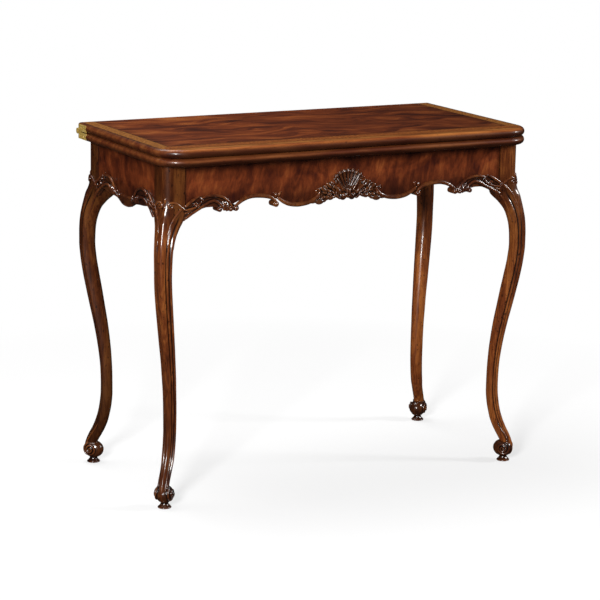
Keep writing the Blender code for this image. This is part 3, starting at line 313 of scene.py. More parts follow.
def flamed_top():
    """Flame mahogany veneer under French polish. It gives the eye red-brown streaks that lean a little, a
    paler honey band with its grain across, fine dark strings beside the band, and solid noses with a painted
    highlight along the top and painted shade below."""
    material, add, shader = new_material("flame_mahogany_top_veneer")
    x, y, z = add("SeparateXYZ", (on_piece(add),), slice(3))
    end = add("Math", (UPPER_HIGH[0], add("Math", (x,), operation="ABSOLUTE")), operation="SUBTRACT")
    front = add("Math", (y, UPPER_LOW[1]), operation="SUBTRACT")
    # The flame: fine streaks over broad clouds, both bent by a slow warp, darker towards the right end
    lean = add("Math", (y, add("Math", (x, 0.08), operation="MULTIPLY")), operation="ADD")
    bent = add("Math", (mottle(add, (2.6, 4, 1), 1.8, 2), 0.17, lean), operation="MULTIPLY_ADD")
    streaks = add("Math", (figure(add, x, bent, (5, 50), 6, 0.66, 1.3), 0.52), operation="MULTIPLY")
    broad = figure(add, x, bent, (3.4, 11), 3, 0.5, 1.9)
    flame = add("Math", (broad, 0.52, streaks), operation="MULTIPLY_ADD")
    field = add("ValToRGB", (flame,), stops=((0.36, "#2e100a"), (0.45, "#52220f"), (0.53, "#753515"),
                                             (0.62, "#944e22"), (0.73, "#b06a30")))
    darker_end = add("ValToRGB", (add("Math", (x, 0.5), operation="ADD"),), stops=((0.48, 1), (0.92, 0.72)))
    field = add("Mix", (1, field, darker_end), **DARKEN)
    pores = mottle(add, (60, 900, 60), 1, 2)
    field = stained(add, field, pores, 0.50, 0.66, 0.45, "#1d0805")
    # The honey band is redder along the front
    to_field, to_band = [[add("Math", pair, operation="SUBTRACT") for pair in zip((end, front), starts)]
                         for starts in (FIELD_STARTS, BAND_STARTS)]
    honey = add("ValToRGB", (mottle(add, (240, 240, 1), 1, 3),),
                stops=((0.35, "#6a3c16"), (0.52, "#8c5624"), (0.68, "#ac7636")))
    redder = add("Mix", (1, honey, "#f2d8d2"), **DARKEN)
    honey = add("Mix", (add("Math", to_field, operation="GREATER_THAN"), honey, redder), **BLEND)
    inner, outer = [add("Math", pair, operation="MINIMUM") for pair in (to_field, to_band)]
    in_field, in_band = [add("Math", (edge, 0), operation="GREATER_THAN") for edge in (inner, outer)]
    lipping = add("ValToRGB", (mottle(add, (5, 40, 30), 2, 4),),
                  stops=((0.35, "#6a3616"), (0.52, "#8c5424"), (0.68, "#a66c32")))
    lipping = stained(add, lipping, mottle(add, (1, 1, 1), 170, 1), 0.68, 0.73, 0.55, "#170704")
    colour = add("Mix", (in_band, lipping, honey), **BLEND)
    colour = add("Mix", (in_field, colour, field), **BLEND)
    for edge, half in zip((inner, outer), STRING_HALVES):
        near = add("Math", (add("Math", (edge,), operation="ABSOLUTE"), half), operation="LESS_THAN")
        colour = add("Mix", (near, colour, "#1c0a06"), **BLEND)
    # Antiquing: the finish is darker towards the field's edge. Down the noses the tones are painted light and
    # shade: a painted highlight along each nose's top, and painted shade below it into the joint
    shade = add("ValToRGB", (add("Math", (inner, 14), operation="MULTIPLY"),), stops=((0, 0.66), (0.5, 1)))
    colour = add("Mix", (in_field, colour, add("Mix", (1, colour, shade), **DARKEN)), **BLEND)
    rise = add("Math", (add("Math", (z, LOWER_LOW[2]), operation="SUBTRACT"), UPPER_LOW[2] - LOWER_LOW[2]),
               operation="DIVIDE")
    rise = add("Math", (rise,), operation="FRACT")
    # Painted light and shade down the noses, read from the height on each leaf
    above, below, beside = [add("ValToRGB", (rise,), stops=tones) for tones in NOSE_PAINTED_LIGHT]
    turns = [add("Math", (add("Math", (CORNER_RADIUS, way), operation="SUBTRACT"), 0), operation="MAXIMUM")
             for way in (end, front)]
    squares = [add("Math", (turn, 2), operation="POWER") for turn in turns]
    reach = add("Math", (add("Math", squares, operation="ADD"),), operation="SQRT")
    on_nose = add("Math", (reach, CORNER_RADIUS - NOSE_WIDTH), operation="GREATER_THAN")
    lower = add("Math", (z, UPPER_LOW[2]), operation="LESS_THAN")
    tone = add("Mix", (lower, above, below), **BLEND)
    at_end = add("Math", (add("Math", turns, operation="SUBTRACT"), 50, 0.3), operation="MULTIPLY_ADD",
                 use_clamp=True)
    tone = add("Mix", (at_end, tone, beside), **BLEND)
    # The nose's colour under its painted light and shade, tinted redder where the painted shade is deep
    nose = add("Mix", (1, add("Mix", (0.25, lipping, "#7c3a1c"), **BLEND), tone), **DARKEN)
    redder = add("Mix", (tone, (0.85, 0.60, 0.85, 1), (1, 0.95, 1, 1)), **BLEND)
    nose = add("Mix", (1, nose, redder), **DARKEN)
    polish(add, shader, add("Mix", (on_nose, colour, nose), **BLEND), 0.38, pores, 0.10, 0.16)
    return material


# Painted light and shade on the legs: heights in metres, and each leg's tones at them. Each leg is lit or
# shaded as a whole and along its height, darker in painted shade up under the aprons
LEG_LIGHT_HEIGHTS = (0.14, 0.36, 0.58, 0.64, 0.675)
FRONT_LEFT_LEG_LIGHT = (0.46, 0.70, 0.78, 0.72, 0.34)
BACK_LEFT_LEG_LIGHT = (0.20, 0.43, 0.37, 0.37, 0.27)
FRONT_RIGHT_LEG_LIGHT = (0.80, 0.95, 0.58, 0.58, 0.60)
BACK_RIGHT_LEG_LIGHT = (0.84, 0.92, 0.72, 0.72, 0.45)


def solid_mahogany(name, tones, stretch, flecks, glaze_and_shade, gloss, haze, leg_lights=()):
    """Solid mahogany under French polish: red-brown, with pores as fine dark dashes along its grain, small
    antiquing flecks, and dark glaze in the hollows with painted shade there too, so that grooves and carving
    read from far off. On the legs each one's tone along its height is painted light and shade."""
    material, add, shader = new_material(name)
    broad = mottle(add, [s * 0.35 for s in stretch], 6, 4, 0.6, 0.6)
    broad = add("Math", (broad, 0.65), operation="MULTIPLY")
    grain = add("Math", (mottle(add, stretch, 26, 3, 0.6), 0.35, broad), operation="MULTIPLY_ADD")
    colour = add("ValToRGB", (grain,), stops=list(zip((0.38, 0.49, 0.60), tones)))
    # Painted light and shade: each leg lighter or darker along its height, after the corner it stands at
    if leg_lights:
        x, y, z = add("SeparateXYZ", (on_piece(add),), slice(3))
        shades = [add("ValToRGB", (z,), stops=list(zip(LEG_LIGHT_HEIGHTS, leg_light))) for leg_light in leg_lights]
        right, back = [add("Math", (way, 0), operation="GREATER_THAN") for way in (x, y)]
        sides = [add("Mix", (back, *pair), **BLEND) for pair in (shades[:2], shades[2:])]
        colour = add("Mix", (1, colour, add("Mix", (right, *sides), **BLEND)), **DARKEN)
    pores = mottle(add, [s * 6 for s in stretch], 28, 2)
    colour = stained(add, colour, pores, 0.55, 0.68, 0.4, "#170704")
    colour = stained(add, colour, mottle(add, (1, 1, 0.5), 210, 1), 0.67, 0.71, flecks, "#120503")
    # Dark glaze with painted shade over it, as deep as each point lies in a hollow
    hollow = add("Attribute", out="Fac", attribute_name="hollow")
    glazed_and_shaded = add("Math", (hollow, glaze_and_shade), operation="MULTIPLY", use_clamp=True)
    colour = add("Mix", (glazed_and_shaded, colour, "#0d0302"), **BLEND)
    polish(add, shader, colour, 0.30, pores, 0.06, gloss, haze)
    return material


def apron_veneer():
    """Flame mahogany veneer on the aprons, polished: an upright mottled figure that leans, dark seams, and
    old glaze with painted shade over it that darkens it under the top, beside the posts and down at the
    carving."""
    material, add, shader = new_material("flame_mahogany_apron_veneer")
    x, y, height = add("SeparateXYZ", (on_piece(add),), slice(3))
    lean = add("Math", (height, -0.22, add("Math", (x, y), operation="ADD")), operation="MULTIPLY_ADD")
    blotch = add("Math", (figure(add, lean, height, (17, 12), 3, 0.6, 0.9), 0.58), operation="MULTIPLY")
    streak = figure(add, lean, height, (64, 17), 5, 0.6, 1.1)
    flame = add("Math", (streak, 0.44, blotch), operation="MULTIPLY_ADD")
    colour = add("ValToRGB", (flame,), stops=((0.38, "#3e160c"), (0.47, "#57240f"), (0.56, "#703216"),
                                              (0.68, "#8e4a22")))
    pores = mottle(add, (900, 900, 60), 1, 2)
    colour = stained(add, colour, pores, 0.50, 0.66, 0.4, "#180704")
    # Glaze and painted shade lie nearest to these edges, along a line that wanders
    top = add("Math", (add("Math", (FRAME_TOP, height), operation="SUBTRACT"), 16), operation="MULTIPLY")
    foot = add("Math", (add("Math", (height, CARVING_LINE), operation="SUBTRACT"), 14), operation="MULTIPLY")
    from_middle = add("Math", (add("Math", (y, FRAME_Y), operation="SUBTRACT"),), operation="ABSOLUTE")
    long_end = add("Math", (LONG_HALF, add("Math", (x,), operation="ABSOLUTE")), operation="SUBTRACT")
    short_end = add("Math", (SHORT_HALF, from_middle), operation="SUBTRACT")
    seam = add("Math", (long_end, short_end), operation="MAXIMUM")
    near = add("Math", (add("Math", (top, foot), operation="MINIMUM"),
                        add("Math", (seam, 30), operation="MULTIPLY")), operation="MINIMUM")
    near = add("Math", (near, 0.25), operation="SUBTRACT")
    near = add("Math", (mottle(add, (1, 1, 1), 22, 3), 0.5, near), operation="MULTIPLY_ADD")
    shade = add("ValToRGB", (near,), stops=((0, 0.36), (0.30, 0.68), (0.75, 1)))
    joint = add("ValToRGB", (seam,), stops=((0.0012, 0.12), (0.0040, 1)))
    for tone in (shade, joint):
        colour = add("Mix", (1, colour, tone), **DARKEN)
    polish(add, shader, colour, 0.36, pores, 0.08, 0.22)
    return material


def aged_brass():
    """Cast brass that was never lacquered: olive and dull, rubbed bright here and there, a blurred gleam."""
    material, add, shader = new_material("aged_brass_fittings")
    wear = mottle(add, (1, 1, 1), 220, 4, 0.6)
    colour = add("ValToRGB", (wear,), stops=((0.35, "#b08f42"), (0.55, "#d8b662"), (0.7, "#f4dc98")))
    rough = add("ValToRGB", (wear,), stops=((0.3, 0.55), (0.7, 0.32)))
    feed(shader, {"Base Color": colour, "Roughness": rough, "Metallic": 0.5})
    return material


def zinced_steel():
    """Steel with a zinc plating: dull grey metal with faint spangle."""
    material, add, shader = new_material("zinced_steel_hardware")
    spangle = mottle(add, (1, 1, 1), 400, 3)
    colour = add("ValToRGB", (spangle,), stops=((0.35, "#8b8c8e"), (0.65, "#b4b5b6")))
    feed(shader, {"Base Color": colour, "Roughness": 0.42, "Metallic": 1})
    return material


def inside_timber():
    """Plain sawn secondary timber without a finish: pale brown and dry, with open grain and no shine."""
    material, add, shader = new_material("unpolished_inside_timber")
    grain = mottle(add, (9, 9, 60), 7, 5)
    colour = add("ValToRGB", (grain,), stops=((0.35, "#7b5632"), (0.5, "#94693f"), (0.66, "#a97d50")))
    bumped = add("Bump", {"Strength": 0.3, "Distance": GRAIN_DEPTH, "Height": grain})
    feed(shader, {"Base Color": colour, "Roughness": 0.75, "Normal": bumped})
    return material


def green_baize():
    """Woollen baize, felted so that its nap hides the weave: matt deep green, faintly cloudy, a soft rim."""
    material, add, shader = new_material("green_baize_cloth")
    nap = mottle(add, (1, 1, 1), 900, 3, 0.7)
    colour = add("ValToRGB", (nap,), stops=((0.3, "#0f311b"), (0.7, "#22522e")))
    colour = stained(add, colour, mottle(add, (1, 1, 1), 9, 3), 0.4, 0.7, 0.25, "#2b5d37")
    bumped = add("Bump", {"Strength": 0.5, "Distance": NAP_DEPTH, "Height": nap})
    feed(shader, {"Base Color": colour, "Roughness": 0.95, "Normal": bumped, "Specular IOR Level": 0.15,
                  "Sheen Weight": 0.06, "Sheen Roughness": 0.5})
    return material


TOP_VENEER = flamed_top()
APRON_VENEER = apron_veneer()
LEG_WOOD = solid_mahogany("polished_mahogany_legs", ("#481f0e", "#7a3d1a", "#a6612c"), (9, 9, 1),
                          flecks=0.8, glaze_and_shade=1, gloss=0.5, haze=0.12,
                          leg_lights=(FRONT_LEFT_LEG_LIGHT, BACK_LEFT_LEG_LIGHT, FRONT_RIGHT_LEG_LIGHT, BACK_RIGHT_LEG_LIGHT))
CARVED = solid_mahogany("glazed_shaded_carved_mahogany", ("#38170b", "#582b14", "#76431e"), (4, 4, 4),
                        flecks=0.4, glaze_and_shade=1.15, gloss=0.85, haze=0.20)
SHELL_WOOD = solid_mahogany("glazed_shaded_carved_mahogany_shell", ("#35160b", "#522911", "#6e3f1d"), (4, 4, 4),
                            flecks=0.3, glaze_and_shade=1.4, gloss=0.5, haze=0.27)
FOOT_WOOD = solid_mahogany("glazed_shaded_carved_mahogany_feet", ("#2c130a", "#4a2410", "#6c3b18"), (4, 4, 4),
                           flecks=0.4, glaze_and_shade=1.5, gloss=0.9, haze=0.16)
BRASS = aged_brass()
STEEL = zinced_steel()
TIMBER = inside_timber()
BAIZE = green_baize()


# Carving: strands and beads are laid on the wood under them, fused into one skin, with glaze and painted
# shade in their hollows

STRAND_ROUND = 14
STRAND_SPACING = 1.2
CURVE_STEPS = 12
HOLLOW_ROUNDS = 6
# Rays that look for the wood start this far in front of an apron's face, or from a leg's middle
RAY_BACK = 0.2
LEG_RAY_BACK = 0.3


def new_tree(name, inputs):
    """A geometry tree with named inputs: tree, node call, inputs and identifiers."""
    tree = bpy.data.node_groups.new(name, "GeometryNodeTree")
    sockets = [tree.interface.new_socket(title, in_out="INPUT", socket_type="NodeSocket" + kind)
               for title, kind in inputs]
    tree.interface.new_socket("Geometry", in_out="OUTPUT", socket_type="NodeSocketGeometry")
    add = partial(add_node, tree)
    start = add("NodeGroupInput", out=slice(len(inputs)))
    return tree, add, start, [socket.identifier for socket in sockets]


def end_tree(add, geometry, material):
    """What a tree made, as plain geometry with its material."""
    solid = add("GeometryNodeRealizeInstances", {"Geometry": geometry})
    coat = add("GeometryNodeSetMaterial", {"Geometry": solid, "Material": material})
    add("NodeGroupOutput", {"Geometry": coat})


def strand_tree():
    """The tree that gives a line of points its round strand, as thick as each point's radius says."""
    inputs = (("Geometry", "Geometry"), ("Sides", "Int"), ("Finish", "Material"))
    tree, add, (points, sides, coat), names = new_tree("carved_strand", inputs)
    line = add("GeometryNodeMeshToCurve", {"Mesh": points})
    radius = add("GeometryNodeInputNamedAttribute", {"Name": "radius"}, data_type="FLOAT")
    sized = add("GeometryNodeSetCurveRadius", {"Curve": line, "Radius": radius})
    ring = add("GeometryNodeCurvePrimitiveCircle", {"Resolution": sides, "Radius": 1})
    tube = add("GeometryNodeCurveToMesh", {"Curve": sized, "Profile Curve": ring, "Fill Caps": True,
                                           "Scale": radius})
    end_tree(add, tube, coat)
    return tree, names[1:]


STRAND_TREE, (STRAND_SIDES, STRAND_FINISH) = strand_tree()


def lengths(rows):
    """How far along a line of rows each one lies."""
    return np.concatenate([[0], np.cumsum(np.linalg.norm(np.diff(rows[:, :2], axis=0), axis=1))])


def along_curve(points, spacing=STRAND_SPACING):
    """Points of a smooth curve through the given ones, evenly spaced; every column is carried along."""
    rows = np.array(points, float)
    before = 2 * rows[0] - rows[1]
    after = 2 * rows[-1] - rows[-2]
    rows = np.vstack([before, rows, after])
    out = []
    for a, b, c, d in zip(rows, rows[1:], rows[2:], rows[3:]):
        for t in np.linspace(0, 1, CURVE_STEPS, endpoint=False):
            out.append(0.5 * (2 * b + (c - a) * t + (2 * a - 5 * b + 4 * c - d) * t * t
                              + (3 * b - a - 3 * c + d) * t ** 3))
    out.append(rows[-2])
    out = np.array(out)
    length = lengths(out)
    count = max(3, int(length[-1] / spacing) + 1)
    even = np.linspace(0, length[-1], count)
    return np.column_stack([np.interp(even, length, out[:, k]) for k in range(out.shape[1])])


def spiral_end(rows, radius, side, turns):
    """Go on from a strand's end into a volute that closes on its eye; side is 1 for left, -1 for right."""
    tip, before = rows[-1], rows[-3]
    heading = tip[:2] - before[:2]
    heading /= np.linalg.norm(heading)
    normal = np.array([-heading[1], heading[0]]) * side
    centre = tip[:2] + normal * radius
    angle = math.atan2(-normal[1], -normal[0])
    steps = max(10, int(turns * 2 * math.pi * radius * 0.6 / STRAND_SPACING))
    out = []
    for i in range(1, steps + 1):
        t = i / steps
        reach = radius * (1 - 0.80 * t ** 0.9)
        turn = angle + side * 2 * math.pi * turns * t
        out.append([centre[0] + reach * math.cos(turn), centre[1] + reach * math.sin(turn),
                    tip[2] * (1 - 0.35 * t), tip[3] + 0.6 * t])
    return np.vstack([rows, out]), centre


def strand(points, start=None, end=None):
    """A carved strand through (across, height, half width, lift) points in millimetres, with volutes at its
    ends. Returns its rows and the beads that close its volutes."""
    rows = along_curve(points)
    beads = []
    for volute, order in ((start, -1), (end, 1)):
        if volute:
            radius, side, turns = volute
            rows, centre = spiral_end(rows[::order], radius, side, turns)
            beads.append((centre[0], centre[1], max(1.6, radius * 0.36), 1.2))
            rows = rows[::order]
    return rows, beads


def round_ends(rows):
    """Bring a strand's radius to almost nothing over its last half width, so that it ends in a round tip."""
    length = lengths(rows)
    rows = rows.copy()
    for distance, tip in ((length, rows[0, 2]), (length[-1] - length, rows[-1, 2])):
        near = distance < tip
        rows[near, 2] *= np.sqrt(np.clip(1 - (1 - distance[near] / tip) ** 2, 0.05, 1))
    return rows


def draped(rows, ground, place):
    """Lay rows on the wood: place turns (across, height) into a ray, ground is the wood's search tree."""
    rays = [place(row[0] * MM, row[1] * MM) for row in rows]
    hits = [ground.ray_cast(origin, heading, 1.0)[3] for origin, heading in rays]
    depths = np.array([np.nan if depth is None else depth for depth in hits], float)
    index = np.arange(len(depths))
    missing = np.isnan(depths)
    depths[missing] = np.interp(index[missing], index[~missing], depths[~missing])
    for _ in range(2):
        padded = np.concatenate([depths[:1], depths, depths[-1:]])
        depths = (padded[:-2] + 2 * padded[1:-1] + padded[2:]) / 4
    reaches = [depth - row[3] * MM for depth, row in zip(depths, rows)]
    return [origin + heading * reach for (origin, heading), reach in zip(rays, reaches)]


def rays_at(face):
    """Rays at an apron whose face looks along -Y: across runs from its middle to the right."""
    return lambda across, height: (Vector((across, face - RAY_BACK, height)), Vector((0, 1, 0)))


AT_FRONT = rays_at(FRONT_FACE)
AT_ORIGIN = rays_at(0.0)


class Carving:
    """Strands, beads and solids gathered in one mesh and fused into one carved piece."""

    def __init__(self, ground):
        self.ground = ground
        self.points, self.edges, self.radii = [], [], []
        self.solids = bmesh.new()

    def chain(self, points, radii):
        """Add a line of points as it is, with a radius in millimetres for each."""
        first = len(self.points)
        self.points += points
        self.radii += [radius * MM for radius in radii]
        self.edges += [(i, i + 1) for i in range(first, len(self.points) - 1)]

    def lay(self, rows, place):
        rows = round_ends(rows)
        self.chain(draped(rows, self.ground, place), [max(0.25, radius) for radius in rows[:, 2]])

    def ball(self, matrix):
        bmesh.ops.create_icosphere(self.solids, subdivisions=3, radius=1.0, matrix=matrix)

    def bead(self, across, height, radius, lift, place):
        point = draped(np.array([[across, height, radius, lift]]), self.ground, place)[0]
        _, heading = place(across * MM, height * MM)
        turn = Vector(heading).to_track_quat("Z", "Y").to_matrix().to_4x4()
        self.ball(Matrix.Translation(point) @ turn @ Matrix.Diagonal((*[radius * MM] * 3, 1.0)))

    def add(self, points, place, **ends):
        rows, beads = strand(points, **ends)
        self.lay(rows, place)
        for bead in beads:
            self.bead(*bead, place)

    def plate(self, low, high, face, proud, deep, sign=1):
        """A flat ground between two edges given as (across, height) rows. It thins out at its upper edge."""
        across = np.append(np.arange(low[0][0], low[-1][0], 2.0), low[-1][0])
        rows = []
        for x, foot, top in zip(across, eased(low, across), eased(high, across)):
            section = ((deep, foot), (1.6 - proud, foot), (-proud, foot + 1.6), (-proud, top - 3.0),
                       (0.2, top), (deep, top))
            rows.append([self.solids.verts.new((sign * x * MM, face + y * MM, z * MM)) for y, z in section])
        count = len(rows[0])
        for first, second in zip(rows, rows[1:]):
            for i in range(count):
                j = (i + 1) % count
                self.solids.faces.new((first[i], first[j], second[j], second[i]))
        self.solids.faces.new(rows[0])
        self.solids.faces.new(rows[-1])

    def petal(self, across, height, long, wide, degrees, proud, lift=0.0):
        """A rounded lobe on the front apron: an egg with its half sizes, turned up by some degrees."""
        place = Matrix.Translation((across * MM, FRONT_FACE - lift * MM, height * MM))
        turn = Matrix.Rotation(math.radians(-degrees), 4, "Y")
        self.ball(place @ turn @ Matrix.Diagonal((long * MM, proud * MM, wide * MM, 1.0)))

    def roll(self, across, height, radius, face, proud, deep):
        """A scroll's roll: a round bar that runs from before the apron's face back through its thickness."""
        place = Matrix.Translation((across * MM, face + (deep - proud) / 2 * MM, height * MM))
        turn = Matrix.Rotation(math.pi / 2, 4, "X")
        bmesh.ops.create_cone(self.solids, cap_ends=True, segments=32, radius1=radius * MM,
                              radius2=radius * MM, depth=(proud + deep) * MM, matrix=place @ turn)

    def fused(self, name, voxel=0.75, soften=2):
        """One closed mesh of everything that was added."""
        lines = bpy.data.meshes.new("lines")
        lines.from_pydata([tuple(p) for p in self.points], self.edges, [])
        radius = lines.attributes.new("radius", "FLOAT", "POINT")
        radius.data.foreach_set("value", self.radii)
        tubes = object_of("strands", lines)
        grow = tubes.modifiers.new("strand", "NODES")
        grow.node_group = STRAND_TREE
        grow[STRAND_SIDES] = STRAND_ROUND
        grow[STRAND_FINISH] = CARVED
        tubes = baked(tubes, "strands")
        shape = bmesh.new()
        shape.from_mesh(tubes.data)
        remove(tubes)
        shape.from_mesh(mesh_of(self.solids, "solids"))
        bmesh.ops.recalc_face_normals(shape, faces=shape.faces)
        item = object_of(name, mesh_of(shape, name))
        remesh = item.modifiers.new("fuse", "REMESH")
        remesh.mode = "VOXEL"
        remesh.voxel_size = voxel * MM
        ease = item.modifiers.new("ease", "SMOOTH")
        ease.factor = 0.5
        ease.iterations = soften
        item = baked(item, name)
        glaze_hollows(item.data)
        return item


def store_hollow(mesh, values):
    """Keep with each point how hollow it is, for the dark glaze and painted shade."""
    layer = mesh.attributes.new("hollow", "FLOAT", "POINT")
    layer.data.foreach_set("value", values.astype(np.float32))


def glaze_hollows(mesh):
    """Measure how far each point lies under the smoothed surface: the hollows get dark glaze and painted
    shade.
    """
    count = len(mesh.vertices)
    points, normals = np.empty(count * 3), np.empty(count * 3)
    mesh.vertices.foreach_get("co", points)
    mesh.vertices.foreach_get("normal", normals)
    points, normals = points.reshape(-1, 3), normals.reshape(-1, 3)
    edges = np.empty(len(mesh.edges) * 2, int)
    mesh.edges.foreach_get("vertices", edges)
    edges = edges.reshape(-1, 2)
    degree = np.maximum(np.bincount(edges.ravel(), minlength=count), 1).astype(float)

    def averaged(values):
        out = np.zeros_like(values)
        np.add.at(out, edges[:, 0], values[edges[:, 1]])
        np.add.at(out, edges[:, 1], values[edges[:, 0]])
        return out / degree[:, None]

    smooth = points.copy()
    for _ in range(HOLLOW_ROUNDS):
        smooth = averaged(smooth)
    rise = np.einsum("ij,ij->i", smooth - points, normals) / MM
    for _ in range(2):
        rise = averaged(rise[:, None])[:, 0]
    store_hollow(mesh, np.clip(0.46 + rise * 2.2, 0.0, 1.0))


# Legs: silhouettes measured out along the post's diagonal, in millimetres, as (height, distance) rows

LEG_OUTER = ((741, 27.3), (690, 27.8), (672, 30.5), (655, 32), (638, 34.5), (626, 38.5), (606, 44.2),
             (589, 48.6), (571, 52.3), (553, 54.2), (535, 55), (510, 55), (479, 52.4), (442, 46.6),
             (404, 38.6), (366, 30), (328, 21), (309, 17), (290, 13.3), (252, 7.4), (225, 4.6), (205, 3.7),
             (185, 3.3), (165, 3.7), (138, 6.7), (119, 10.4), (100, 16.5), (82, 24.2), (64, 33.8),
             (52, 38.9), (44, 41.4), (37, 42.9), (30, 43.3), (24, 42.5), (19, 40.3), (16, 37.8))
LEG_INNER = ((741, -34), (640, -34), (626, -31), (606, -11), (589, 3), (571, 10.5), (553, 15), (535, 17),
             (510, 17.8), (479, 15), (442, 8.5), (404, 1.1), (366, -5.7), (328, -12.5), (290, -17.7),
             (252, -21.5), (205, -23.8), (165, -24.1), (138, -21.7), (110, -16), (100, -13.5), (82, -6.5),
             (64, 3), (52, 10), (40, 16), (16, 20))
LEG_SIDE = ((741, 33.9), (640, 33.9), (626, 31.4), (609, 26.2), (593, 23.4), (576, 21.9), (559, 21.2),
            (542, 20.8), (507, 20), (456, 19.6), (404, 18.7), (352, 17.6), (317, 16.6), (282, 16.1),
            (247, 15.3), (194, 14.9), (140, 14.4), (105, 14.1), (87, 12.9), (64, 12), (51, 11.8),
            (40, 11.8), (28, 11.4), (16, 9.8))
# How far the plain post has gone over into the leg, and how deep its grooves and beads are there
LEG_PLAIN = ((741, 0), (672, 0), (640, 0.7), (620, 1), (40, 1))
LEG_BEADED = ((741, 0), (650, 0), (610, 0.75), (570, 1), (120, 0.95), (60, 0.75), (30, 0.6), (16, 0.3))
# Grooves and beads along a flank: how proud, how far round from the outer corner, how wide
FLANK_BEADS = ((-2.0, 0.515, 0.042), (0.5, 0.64, 0.06), (-2.1, 0.795, 0.055), (0.8, 0.95, 0.05))
# No knee comes out past the leaves' ends
KNEE_LIMIT = UPPER_HIGH[0] - POST_X - 0.2 * MM
KNEE_EASE = 0.5 * MM
OUTER_STEPS = 46
INNER_STEPS = 14


def leg_sizes(height):
    """A leg's outer corner, inner corner and half width at one height."""
    return [float(eased(rows, height)) for rows in (LEG_OUTER, LEG_INNER, LEG_SIDE)]


def bell(at, centre, width):
    return np.exp(-((at - centre) / width) ** 2)


def leg_quarter(height):
    """Half of a level section, as (sideways, outwards, glaze and painted shade) from the outer corner to the
    inner one.
    """
    outer, inner, side = leg_sizes(height)
    plain = float(eased(LEG_PLAIN, height))
    beaded = float(eased(LEG_BEADED, height))
    middle = inner + (outer - inner) * (0.5 + 0.05 * plain)
    u = np.arange(OUTER_STEPS + 1) / OUTER_STEPS
    flank = np.column_stack([side * u, middle + (outer - middle) * (1 - u ** 1.5)])
    tangent = np.gradient(flank, axis=0)
    normal = np.column_stack([-tangent[:, 1], tangent[:, 0]])
    normal *= np.sign(np.sum(normal * (flank - [0, middle]), axis=1))[:, None]
    normal /= np.maximum(np.linalg.norm(normal, axis=1), 1e-6)[:, None]
    relief = sum(proud * bell(u, centre, width) for proud, centre, width in FLANK_BEADS)
    leg = flank + normal * (relief * beaded)[:, None]
    glaze_and_shade = beaded * np.clip(1.05 * bell(u, 0.515, 0.045) + bell(u, 0.795, 0.06), 0, 1)
    for w in range(1, INNER_STEPS + 1):
        t = w / INNER_STEPS
        inwards = math.sin(t * math.pi / 2) ** 1.15
        leg = np.vstack([leg, [side * (1 - t ** 1.5) ** 0.87, middle - (middle - inner) * inwards]])
    # The post above: square, with its outer corner rounded
    corner = POST_CORNER / MM
    half = POST_HALF / MM
    rim = corner * math.pi / 4
    straight = 2 * half - corner
    post = []
    for i in range(OUTER_STEPS + 1):
        d = (rim + straight) * i / OUTER_STEPS
        if d < rim:
            a = math.pi / 4 + d / corner
            post.append((half - corner + corner * math.sin(a), -(half - corner) - corner * math.cos(a)))
        else:
            post.append((half, -(half - corner) + (d - rim)))
    post += [(half - 2 * half * w / INNER_STEPS, half) for w in range(1, INNER_STEPS + 1)]
    post = np.array([((x + y) * DIAGONAL, (x - y) * DIAGONAL) for x, y in post])
    # Glaze and painted shade lie in the grooves, and painted shade darkens the whole knee under its carving
    knee = 0.10 + 0.45 * bell(height, 638.0, 32.0)
    shade = np.concatenate([knee + glaze_and_shade * plain, np.full(INNER_STEPS, knee)])
    return np.column_stack([post * (1 - plain) + leg * plain, shade])


def leg_ring(height):
    """A whole level section in metres about the post's middle, for the front right leg, and its glaze and
    painted shade.
    """
    right = leg_quarter(height)
    left = right[1:-1][::-1] * [-1, 1, 1]
    section = np.vstack([right, left])
    flanks = []
    for away in (section[:, 0] + section[:, 1], section[:, 1] - section[:, 0]):
        room = (KNEE_LIMIT - away * DIAGONAL * MM) / KNEE_EASE
        flanks.append(KNEE_LIMIT - KNEE_EASE * np.logaddexp(0, room))
    return np.column_stack([flanks[0], -flanks[1], np.full(len(section), height * MM), section[:, 2]])


def leg_shaft():
    """Post, knee and shaft in one loft from the frame's top down into the scroll."""
    heights = np.concatenate([[FRAME_TOP / MM, 720, 700], np.linspace(688, 560, 66),
                              np.linspace(556, 130, 96), np.linspace(127, 44, 40), np.linspace(42, 16, 20)])
    rings = np.array([leg_ring(height) for height in heights])
    count = rings.shape[1]
    faces = bands(len(rings), count)
    faces += [range(count), range((len(rings) - 1) * count, len(rings) * count)]
    points = rings.reshape(-1, 4)
    mesh = mesh_from("leg_shaft", points[:, :3], faces)
    store_hollow(mesh, points[:, 3])
    return mesh


# The scroll foot, in millimetres: the middles of its ball and of its volutes as (outwards, up), then half of
# each turned profile as (radius, height), and the pad's whole one
BALL_MIDDLE = (20.3, 30.0)
VOLUTE_MIDDLE = (24.0, 32.0)
PAD_OUT = BALL_MIDDLE[0] + 1.0
BALL_FLATNESS = 0.87
BALL = ((0, 16), (7, 15.8), (12.5, 14.8), (16.6, 12.8), (19.4, 10), (21.4, 6.4), (22.6, 2.4))
BOSS = ((0, 21.4), (2.8, 20.8), (4.6, 17.6), (8.6, 15.8), (11.6, 14), (13.8, 12.2), (15, 10))
PAD = ((0, 14), (9, 14), (8.3, 11.2), (8.9, 8.8), (10.8, 6), (13.4, 3.6), (14.8, 2), (14.4, 0.05), (0, 0.05))
# The strap comes off the leg between two heights, then winds in to the eye
STRAP_TOP = 96
STRAP_FOOT = 50
STRAP_REACH = 15.8
STRAP_EYE = 3.6
STRAP_TURNS = 1.9


